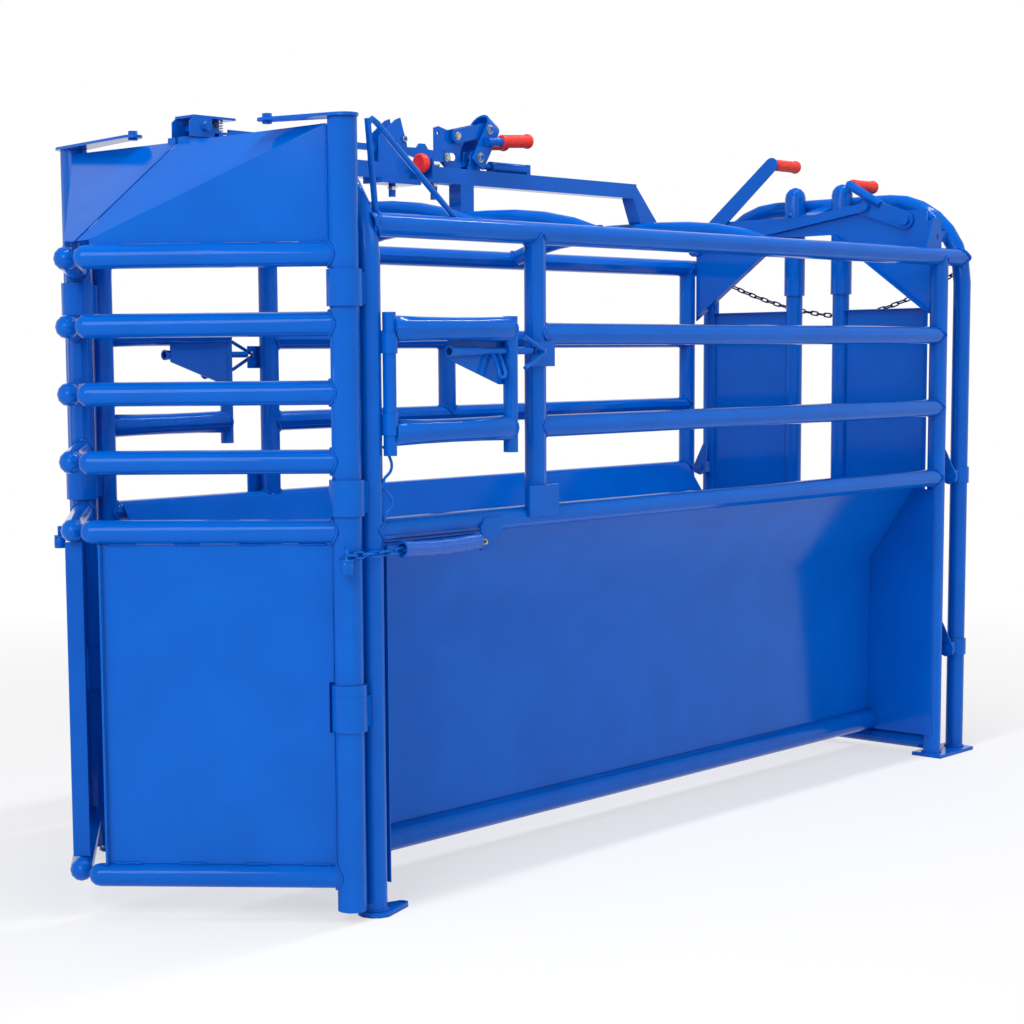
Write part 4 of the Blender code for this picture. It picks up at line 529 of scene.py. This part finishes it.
def tubeMesh(name, points, radius, around, closeEnds=True, ripple=None):
    # A round tube swept along points without twist; ripple adds to the radius at a ring and a corner
    work = bmesh.new()
    rings = []
    side = None
    for i, point in enumerate(points):
        along = (points[min(i + 1, len(points) - 1)] - points[max(i - 1, 0)]).normalized()
        if side is None:
            side = along.orthogonal().normalized()
        side = (side - along * side.dot(along)).normalized()
        other = along.cross(side)
        ring = []
        for k in range(around):
            a = 2 * math.pi * k / around
            reach = radius + (ripple(i, k) if ripple else 0.0)
            ring.append(work.verts.new(point + side * (reach * math.cos(a)) + other * (reach * math.sin(a))))
        rings.append(ring)
    for first, second in zip(rings, rings[1:]):
        for k in range(around):
            work.faces.new((first[k], first[(k + 1) % around], second[(k + 1) % around], second[k]))
    if closeEnds:
        work.faces.new(rings[0][::-1])
        work.faces.new(rings[-1])
    bmesh.ops.recalc_face_normals(work, faces=work.faces)
    mesh = meshFrom(work, name)
    mesh.set_sharp_from_angle(angle=math.radians(smoothing["tubeSharp"]))
    return mesh


def turnedMesh(name, start, along, profile, around):
    # A lathe form: profile is (distance along, radius), closed to a point at both ends
    along = along.normalized()
    points = [start + along * distance for distance, radius in profile]
    side = along.orthogonal().normalized()
    other = along.cross(side)
    work = bmesh.new()
    rings = []
    for point, (distance, radius) in zip(points, profile):
        if radius < 1e-6:
            rings.append([work.verts.new(point)])
        else:
            rings.append([work.verts.new(point + side * (radius * math.cos(2 * math.pi * k / around))
                                         + other * (radius * math.sin(2 * math.pi * k / around)))
                          for k in range(around)])
    for first, second in zip(rings, rings[1:]):
        for k in range(around):
            n = (k + 1) % around
            if len(first) == 1:
                work.faces.new((first[0], second[n], second[k]))
            elif len(second) == 1:
                work.faces.new((first[k], first[n], second[0]))
            else:
                work.faces.new((first[k], first[n], second[n], second[k]))
    bmesh.ops.recalc_face_normals(work, faces=work.faces)
    mesh = meshFrom(work, name)
    mesh.set_sharp_from_angle(angle=math.radians(smoothing["turnedSharp"]))
    return mesh


def joined(name, meshes):
    work = bmesh.new()
    for mesh in meshes:
        work.from_mesh(mesh)
    return meshFrom(work, name, smooth=False)


# Spring chains: blue painted links from the gate's lug into the hose
springChain = {"pitch": 0.0222, "wire": 0.0052, "width": 0.0165, "turn": 78, "height": 0.7475, "out": 0.037,
               "hookX": -0.1022, "hookGap": 0.008, "hoseX": 0.068, "sag": 0.003, "steps": 8, "stretchTo": 0.05,
               "keep": 0.48}


def makeSpringChains():
    link = linkMesh("springLink", springChain["pitch"], springChain["wire"], springChain["width"])
    for word, side in (("near", -1), ("far", 1)):
        y = side * (chute["halfWidth"] + springChain["out"])
        z = springChain["height"]
        steps, sag = springChain["steps"], springChain["sag"]
        x0, x1 = springChain["hookX"] + springChain["hookGap"], springChain["hoseX"]
        route = [place(x0 + (x1 - x0) * i / steps, y, z - sag * math.sin(math.pi * i / steps))
                 for i in range(steps + 1)]
        chain = strungPieces(word + "_spring_links", [(route, False)], link.copy(), springChain["pitch"],
                             math.radians(springChain["turn"]), blueCoat, "frame", (word + "_spring_chain",))
        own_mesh(chain)


makeSpringChains()
print("spring chains made")

# Braided hose over each opening spring, a little bowed
springHose = {"x": (0.050, 0.280), "radius": 0.0165, "wall": 0.0045, "bow": 0.004, "bowLift": 0.4, "ridge": 0.00055,
              "turns": 9, "strands": 10, "swell": 0.0004, "swells": 4.0, "around": 80, "along": 220}


def makeHose(word, side):
    x0, x1 = springHose["x"]
    y = side * (chute["halfWidth"] + springChain["out"])
    steps, around = springHose["along"], springHose["around"]
    points = [place(x0 + (x1 - x0) * i / steps, y, springChain["height"]
                    + springHose["bow"] * (springHose["bowLift"] - math.sin(math.pi * i / steps)))
              for i in range(steps + 1)]

    def braid(i, k):
        u = 2 * math.pi * springHose["turns"] * i / steps
        a = springHose["strands"] * 2 * math.pi * k / around
        swell = springHose["swell"] * math.sin(2 * math.pi * springHose["swells"] * i / steps)
        return springHose["ridge"] * (math.cos(a + 2 * u) * math.cos(a - 2 * u)) + swell

    outer = tubeMesh(word + "HoseOuter", points, springHose["radius"], around, False, braid)
    inner = tubeMesh(word + "HoseInner", points, springHose["radius"] - springHose["wall"], around, False)
    work = bmesh.new()
    work.from_mesh(outer)
    outerCount = len(work.verts)
    work.from_mesh(inner)
    work.verts.ensure_lookup_table()
    rim = steps * around
    for start in (0, rim):
        for k in range(around):
            n = (k + 1) % around
            work.faces.new((work.verts[start + k], work.verts[start + n], work.verts[outerCount + start + n],
                            work.verts[outerCount + start + k]))
    bmesh.ops.recalc_face_normals(work, faces=work.faces)
    mesh = meshFrom(work, word + "Hose")
    mesh.set_sharp_from_angle(angle=math.radians(smoothing["hoseSharp"]))
    piece(word + "_spring_hose", mesh, braidedHose, "frame", (word + "_spring_sleeve",))


for word, side in (("near", -1), ("far", 1)):
    makeHose(word, side)
print("spring hoses made")

# Red grips: a sleeve with fine finger rings, and a flared rounded end
gripShape = {"ringPitch": 0.0062, "ringDepth": 0.0008, "flare": 1.14, "flareLength": 0.014}


def gripMesh(name, start, along, length, radius):
    profile = [(0.0, 0.0), (0.0, radius * 0.86), (0.0012, radius * 0.97)]
    body = length - gripShape["flareLength"]
    count = int(body / gripShape["ringPitch"])
    for i in range(count):
        base = 0.003 + i * gripShape["ringPitch"]
        for share, dip in ((0.0, 0.0), (0.55, 0.0), (0.70, 1.0), (0.85, 1.0)):
            profile.append((base + share * gripShape["ringPitch"], radius - dip * gripShape["ringDepth"]))
    edge, wide = length - gripShape["flareLength"], radius * gripShape["flare"]
    profile += [(edge, radius), (edge + 0.002, wide * 0.97), (edge + 0.0035, wide), (length - 0.006, wide),
                (length - 0.003, wide * 0.95), (length - 0.001, wide * 0.80), (length, wide * 0.55), (length, 0.0)]
    return turnedMesh(name, start, along, profile, 40)


tailHandle = {"radius": 0.0165}
releaseHandle = {"rise": 0.068, "length": 0.1045, "radius": 0.0155}


def makeGrips():
    for word in ("near", "far"):
        (x0, y0, z0), (x1, y1, z1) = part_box(word + "_tail_grip")
        start = Vector((x0, (y0 + y1) / 2, (z0 + z1) / 2))
        mesh = gripMesh(word + "Grip", start, Vector((1, 0, 0)), x1 - x0, tailHandle["radius"])
        piece(word + "_tail_grip_vinyl", mesh, redVinyl, word + "_tail_lever", (word + "_tail_grip",))
        (x0, y0, z0), (x1, y1, z1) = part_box("release_grip_" + word)
        along = Vector((1, 0, releaseHandle["rise"])).normalized()
        middle = Vector(((x0 + x1) / 2, (y0 + y1) / 2, (z0 + z1) / 2))
        start = middle - along * (releaseHandle["length"] / 2)
        mesh = gripMesh("releaseGrip" + word, start, along, releaseHandle["length"], releaseHandle["radius"])
        piece("release_grip_" + word + "_vinyl", mesh, redVinyl, "release_lever", ("release_grip_" + word,))


makeGrips()

knob = {"depth": 0.025, "pinRadius": 0.0045}


def makeKnob():
    (x0, y0, z0), (x1, y1, z1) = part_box("release_knob")
    start = Vector((x0, (y0 + y1) / 2, (z0 + z1) / 2))
    r, deep = (z1 - z0) / 2, knob["depth"]
    profile = [(0.0, 0.0), (0.0006, r * 0.55), (0.0, r * 0.62), (0.0008, r * 0.84), (0.004, r * 0.97), (0.008, r),
               (deep - 0.010, r), (deep - 0.003, r * 0.80), (deep, r * 0.62), (deep, 0.0)]
    piece("release_knob_moulded", turnedMesh("knob", start, Vector((1, 0, 0)), profile, 48), redVinyl, "release_knob",
          ("release_knob",))
    pin = [(0.0, 0.0), (0.0, knob["pinRadius"]), (x1 - x0 - deep, knob["pinRadius"]), (x1 - x0 - deep, 0.0)]
    piece("release_knob_pin", turnedMesh("knobPin", start + Vector((deep, 0, 0)), Vector((1, 0, 0)), pin, 20),
          brightZinc, "release_knob")


makeKnob()
print("grips and knob made")

# Latch spring: a zinc plated coil
latchCoil = {"turns": 4, "stepsATurn": 28, "wire": 0.0017, "keep": 0.48}


def makeLatchSpring():
    (x0, y0, z0), (x1, y1, z1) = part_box("latch_spring")
    wire = latchCoil["wire"]
    radius = (x1 - x0) / 2 - wire
    cx, cy = (x0 + x1) / 2, (y0 + y1) / 2
    steps = latchCoil["turns"] * latchCoil["stepsATurn"]
    points = []
    for i in range(steps + 1):
        t = i / steps
        a = 2 * math.pi * latchCoil["turns"] * t
        points.append(Vector((cx + radius * math.cos(a), cy + radius * math.sin(a),
                              z0 + wire + (z1 - z0 - 2 * wire) * t)))
    obj = piece("latch_coil", tubeMesh("latchCoil", points, wire, 12), brightZinc, "frame", ("latch_spring",))
    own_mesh(obj)


makeLatchSpring()
print("latch spring wound")

# Weld beads: overlapping puddles along each joint's seam
weld = {"length": 0.0066, "width": 0.0076, "spacing": 0.0045, "offBranch": 0.0008, "offMain": 0.0006,
        "footHeight": 0.011, "offFoot": 0.0004}


def beadMesh():
    work = bmesh.new()
    bmesh.ops.create_uvsphere(work, u_segments=8, v_segments=5, radius=0.5)
    bmesh.ops.rotate(work, cent=(0, 0, 0), matrix=Matrix.Rotation(math.pi / 2, 3, "Y"), verts=work.verts)
    bmesh.ops.scale(work, vec=(weld["length"], weld["width"], weld["width"]), verts=work.verts)
    return meshFrom(work, "weldBead")


def saddle(centre, mainAxis, branchAxis, branchRadius, mainRadius, steps=48):
    # Where a round branch leaves a round main tube; both axes pass through centre
    mainAxis, branchAxis = Vector(mainAxis).normalized(), Vector(branchAxis).normalized()
    side = mainAxis.cross(branchAxis).normalized()
    points = []
    for i in range(steps + 1):
        a = math.radians(360.0 * i / steps)
        u, v = branchRadius * math.cos(a), branchRadius * math.sin(a)
        deep = math.sqrt(max(mainRadius ** 2 - v ** 2, 0.0))
        points.append(centre + mainAxis * u + side * v + branchAxis * deep)
    return (points, False)


def seam(first, last):
    return ([first, last], False)


def ringAt(centre, axis, radius, steps=48):
    axis = Vector(axis).normalized()
    side = axis.orthogonal().normalized()
    other = axis.cross(side)
    return ([centre + side * (radius * math.cos(2 * math.pi * i / steps))
             + other * (radius * math.sin(2 * math.pi * i / steps)) for i in range(steps)], True)


def frameSeams():
    seams = []
    rail, half = chute["railRadius"], chute["halfWidth"]

    def joint(x, y, z, main, branch, branchRadius=rail):
        seams.append(saddle(place(x, y, z), main, branch, branchRadius + weld["offBranch"], rail + weld["offMain"]))

    for side in (-1, 1):
        y = side * half
        for x, sign in ((0.0, 1), (chute["rearArch"], -1)):
            joint(x, y, chute["topRail"], (0, 0, 1), (sign, 0, 0))
        for z in (chute["upperRail"], chute["lowerRail"]):
            joint(chute["middlePost"], y, z, (0, 0, 1), (1, 0, 0))
            joint(chute["rearPost"], y, z, (0, 0, 1), (-1, 0, 0))
        joint(0.0, y, chute["sheetRail"], (0, 0, 1), (1, 0, 0))
        joint(chute["rearPost"], y, chute["sheetRail"], (0, 0, 1), (-1, 0, 0))
        for x in (chute["middlePost"], chute["rearPost"]):
            joint(x, y, chute["topRail"], (1, 0, 0), (0, 0, -1))
        joint(chute["middlePost"], y, chute["sheetRail"], (1, 0, 0), (0, 0, 1))
        for x in chute["hoops"]:
            joint(x, y, chute["topRail"], (1, 0, 0), (0, -side, chute["hoopSlope"]), chute["hoopRadius"])
        for x in (0.0, chute["rearPost"], chute["rearArch"]):
            seams.append(ringAt(place(x, y, weld["footHeight"]), (0, 0, 1), rail + weld["offFoot"]))
    joint(chute["farStrut"], half, chute["upperRail"], (1, 0, 0), (0, 0, -1))
    joint(chute["farStrut"], half, chute["lowerRail"], (1, 0, 0), (0, 0, 1))
    return seams


gate = {"x": -0.067, "angle": 39.65, "rails": (1.337, 1.201, 1.066, 0.930, 0.7915, 0.091), "hoodTop": 1.589,
        "hoodSeat": 0.93, "hoodProud": 0.0035, "hoodTacks": ((0.036, 0.085), (0.240, 0.285), (0.440, 0.495)),
        "edgeOff": 0.0010, "edgeProud": 0.0008, "edgeTrim": (0.005, 0.004), "sheetProud": 0.003,
        "sheetTacks": ((0.045, 0.095), (0.170, 0.215), (0.300, 0.345), (0.430, 0.480))}


def gateSeams(side):
    angle = math.radians(gate["angle"])
    along = Vector((-math.sin(angle), -side * math.cos(angle), 0.0))
    seams = []
    y = side * chute["halfWidth"]
    rail, post = chute["railRadius"], chute["postRadius"]
    for z in gate["rails"]:
        seams.append(saddle(place(gate["x"], y, z), (0, 0, 1), along, rail + weld["offBranch"],
                            post + weld["offMain"]))
    outward = Vector((0, 0, 1)).cross(along).normalized()
    front = outward if outward.x < 0 else -outward

    def tacks(z, spans, proud):
        for ends in spans:
            first, last = (place(gate["x"], y, z) + along * u + front * proud for u in ends)
            seams.append(seam(first, last))

    base = gate["rails"][0] + rail * gate["hoodSeat"]
    tacks(base, gate["hoodTacks"], gate["hoodProud"])
    low, high = gate["edgeTrim"]
    edge = place(gate["x"], y, 0.0) + along * (post + gate["edgeOff"]) + front * gate["edgeProud"]  # hood on post
    seams.append(seam(edge + Vector((0, 0, base + low)), edge + Vector((0, 0, gate["hoodTop"] - high))))
    for z in (gate["rails"][4] - rail - weld["offMain"], gate["rails"][5] + rail + weld["offMain"]):
        tacks(z, gate["sheetTacks"], gate["sheetProud"])
    return seams


doorSeam = {"x": 0.3947, "out": 0.029, "heights": (1.191, 0.9835), "branchRadius": 0.0206, "mainRadius": 0.0168}


def doorSeams(side):
    y = side * (chute["halfWidth"] + doorSeam["out"])
    return [saddle(place(doorSeam["x"], y, z), (0, 0, 1), (-1, 0, 0), doorSeam["branchRadius"], doorSeam["mainRadius"])
            for z in doorSeam["heights"]]


def makeWelds():
    bead = beadMesh()
    strungPieces("frame_welds", frameSeams(), bead.copy(), weld["spacing"], 0.0, weldBlue, "frame")
    for word, side in (("near", -1), ("far", 1)):
        strungPieces(word + "_gate_welds", gateSeams(side), bead.copy(), weld["spacing"], 0.0, weldBlue,
                     word + "_gate")
        strungPieces(word + "_door_welds", doorSeams(side), bead.copy(), weld["spacing"], 0.0, weldBlue,
                     word + "_door")


makeWelds()
print("welds run")

# Bent wire loops on the arch legs, the thin bar under the sheet rail, and the small parts of the spring's ends
wireLoops = {"radius": 0.0030, "out": 0.0215,
             "first": ((0.0150, 0.957), (0.0240, 0.948), (0.0330, 0.936), (0.0400, 0.920), (0.0360, 0.906),
                       (0.0260, 0.899), (0.0170, 0.893), (0.0150, 0.884)),
             "second": ((0.0160, 0.871), (0.0250, 0.864), (0.0380, 0.852), (0.0400, 0.838), (0.0290, 0.828),
                        (0.0190, 0.820), (0.0170, 0.808))}
thinBar = {"x": (0.022, 0.302), "out": 0.0040, "z": 0.7575, "dip": 0.001, "radius": 0.0055}
endLink = {"x": 0.2905, "pitch": 0.0165, "wire": 0.0038, "width": 0.0125, "proud": 0.0066, "lean": 0.25}
lugSleeve = {"x": -0.107, "top": 0.7352, "height": 0.0240, "radius": 0.0130}


def softened(points, rounds=2):
    # Cuts corners, which turns a few bends into one smooth run
    for _ in range(rounds):
        cut = [points[0]]
        for a, b in zip(points, points[1:]):
            cut += [a.lerp(b, 0.25), a.lerp(b, 0.75)]
        points = cut + [points[-1]]
    return points


def makeSmallParts():
    for word, side in (("near", -1), ("far", 1)):
        y = side * (chute["halfWidth"] + wireLoops["out"])
        loops = [tubeMesh("loop", softened([place(x, y, z) for x, z in wireLoops[key]]), wireLoops["radius"], 10)
                 for key in ("first", "second")]
        piece(word + "_wire_loops", joined("wireLoops", loops), blueCoat, "frame")
        barY = side * (chute["halfWidth"] + thinBar["out"])
        (x0, x1), z = thinBar["x"], thinBar["z"]
        points = [place(x0, barY, z), place((x0 + x1) / 2, barY, z - thinBar["dip"]), place(x1, barY, z)]
        piece(word + "_under_bar", tubeMesh("underBar", points, thinBar["radius"], 16), blueCoat, "frame")
        springY = side * (chute["halfWidth"] + springChain["out"])
        link = linkMesh("endLink", endLink["pitch"], endLink["wire"], endLink["width"], 10, 7)
        link.transform(Matrix.Translation(place(endLink["x"], springY + side * endLink["proud"], springChain["height"]))
                       @ Matrix.Rotation(math.pi / 2 - endLink["lean"], 4, "X"))
        piece(word + "_end_link", link, brassPlate, "frame")
        top = place(lugSleeve["x"], springY, lugSleeve["top"])
        profile = [(0.0, 0.0), (0.0, lugSleeve["radius"] * 0.92), (0.0015, lugSleeve["radius"]),
                   (lugSleeve["height"] - 0.002, lugSleeve["radius"]),
                   (lugSleeve["height"], lugSleeve["radius"] * 0.9), (lugSleeve["height"], 0.0)]
        piece(word + "_lug_sleeve", turnedMesh("lugSleeve", top, Vector((0, 0, -1)), profile, 28), blueCoat,
              word + "_gate")


makeSmallParts()
print("wire loops and spring ends made")

# Hex heads on round washers, in shares of the head's radius across its corners
hexHead = {"height": 0.62, "chamfer": 0.08, "top": 0.88, "washerHeight": 0.16, "washerWidth": 1.28, "washerSides": 24}


def hexMesh(name, at, axis, width):
    axis = Vector(axis).normalized()
    side = axis.orthogonal().normalized()
    other = axis.cross(side)
    work = bmesh.new()

    def ring(height, radius, count):
        return [work.verts.new(at + axis * height + side * (radius * math.cos(2 * math.pi * k / count))
                               + other * (radius * math.sin(2 * math.pi * k / count))) for k in range(count)]

    def wall(first, second):
        count = len(first)
        for k in range(count):
            work.faces.new((first[k], first[(k + 1) % count], second[(k + 1) % count], second[k]))

    r = width / 2
    thick = hexHead["washerHeight"] * r
    low, high = (ring(z, r * hexHead["washerWidth"], hexHead["washerSides"]) for z in (0.0, thick))
    wall(low, high)
    work.faces.new(low[::-1])
    work.faces.new(high)
    top = thick + hexHead["height"] * r
    rings = [ring(thick, r, 6), ring(top - hexHead["chamfer"] * r, r, 6), ring(top, r * hexHead["top"], 6)]
    wall(rings[0], rings[1])
    wall(rings[1], rings[2])
    work.faces.new(rings[0][::-1])
    work.faces.new(rings[2])
    bmesh.ops.recalc_face_normals(work, faces=work.faces)
    return meshFrom(work, name, smooth=False)


hexPlaces = (  # body, across-corner width, places with the way each head faces
    ("frame", 0.0170, (((0.531, -0.0175, 1.632), (0, -1, 0)), ((0.531, 0.0175, 1.632), (0, 1, 0)))),
    ("frame", 0.0195, (((0.510, 0.0, 1.5235), (0, 0, -1)), ((0.650, 0.0, 1.5385), (0, 0, -1)))),
    ("release_lever", 0.0175, (((0.782, -0.0292, 1.6047), (0, -1, 0)), ((0.782, 0.0292, 1.6047), (0, 1, 0)),
                               ((0.816, -0.0292, 1.673), (0, -1, 0)), ((0.816, 0.0292, 1.673), (0, 1, 0)))),
    ("release_slide", 0.0150, (((0.7156, -0.0172, 1.6515), (0, -1, 0)), ((0.7156, 0.0172, 1.6515), (0, 1, 0)),
                               ((0.684, -0.0112, 1.601), (0, -1, 0)))),
    ("latch_pawl", 0.0170, (((-0.072, -0.0302, 1.614), (0, -1, 0)), ((-0.072, 0.0302, 1.614), (0, 1, 0)))))


def makeFasteners():
    for index, (body, width, spots) in enumerate(hexPlaces):
        heads = [hexMesh("head", place(*at), axis, width) for at, axis in spots]
        piece(f"{body}_hex_heads_{index}", joined("hexHeads", heads), brightZinc, body)


makeFasteners()
print("fasteners set")
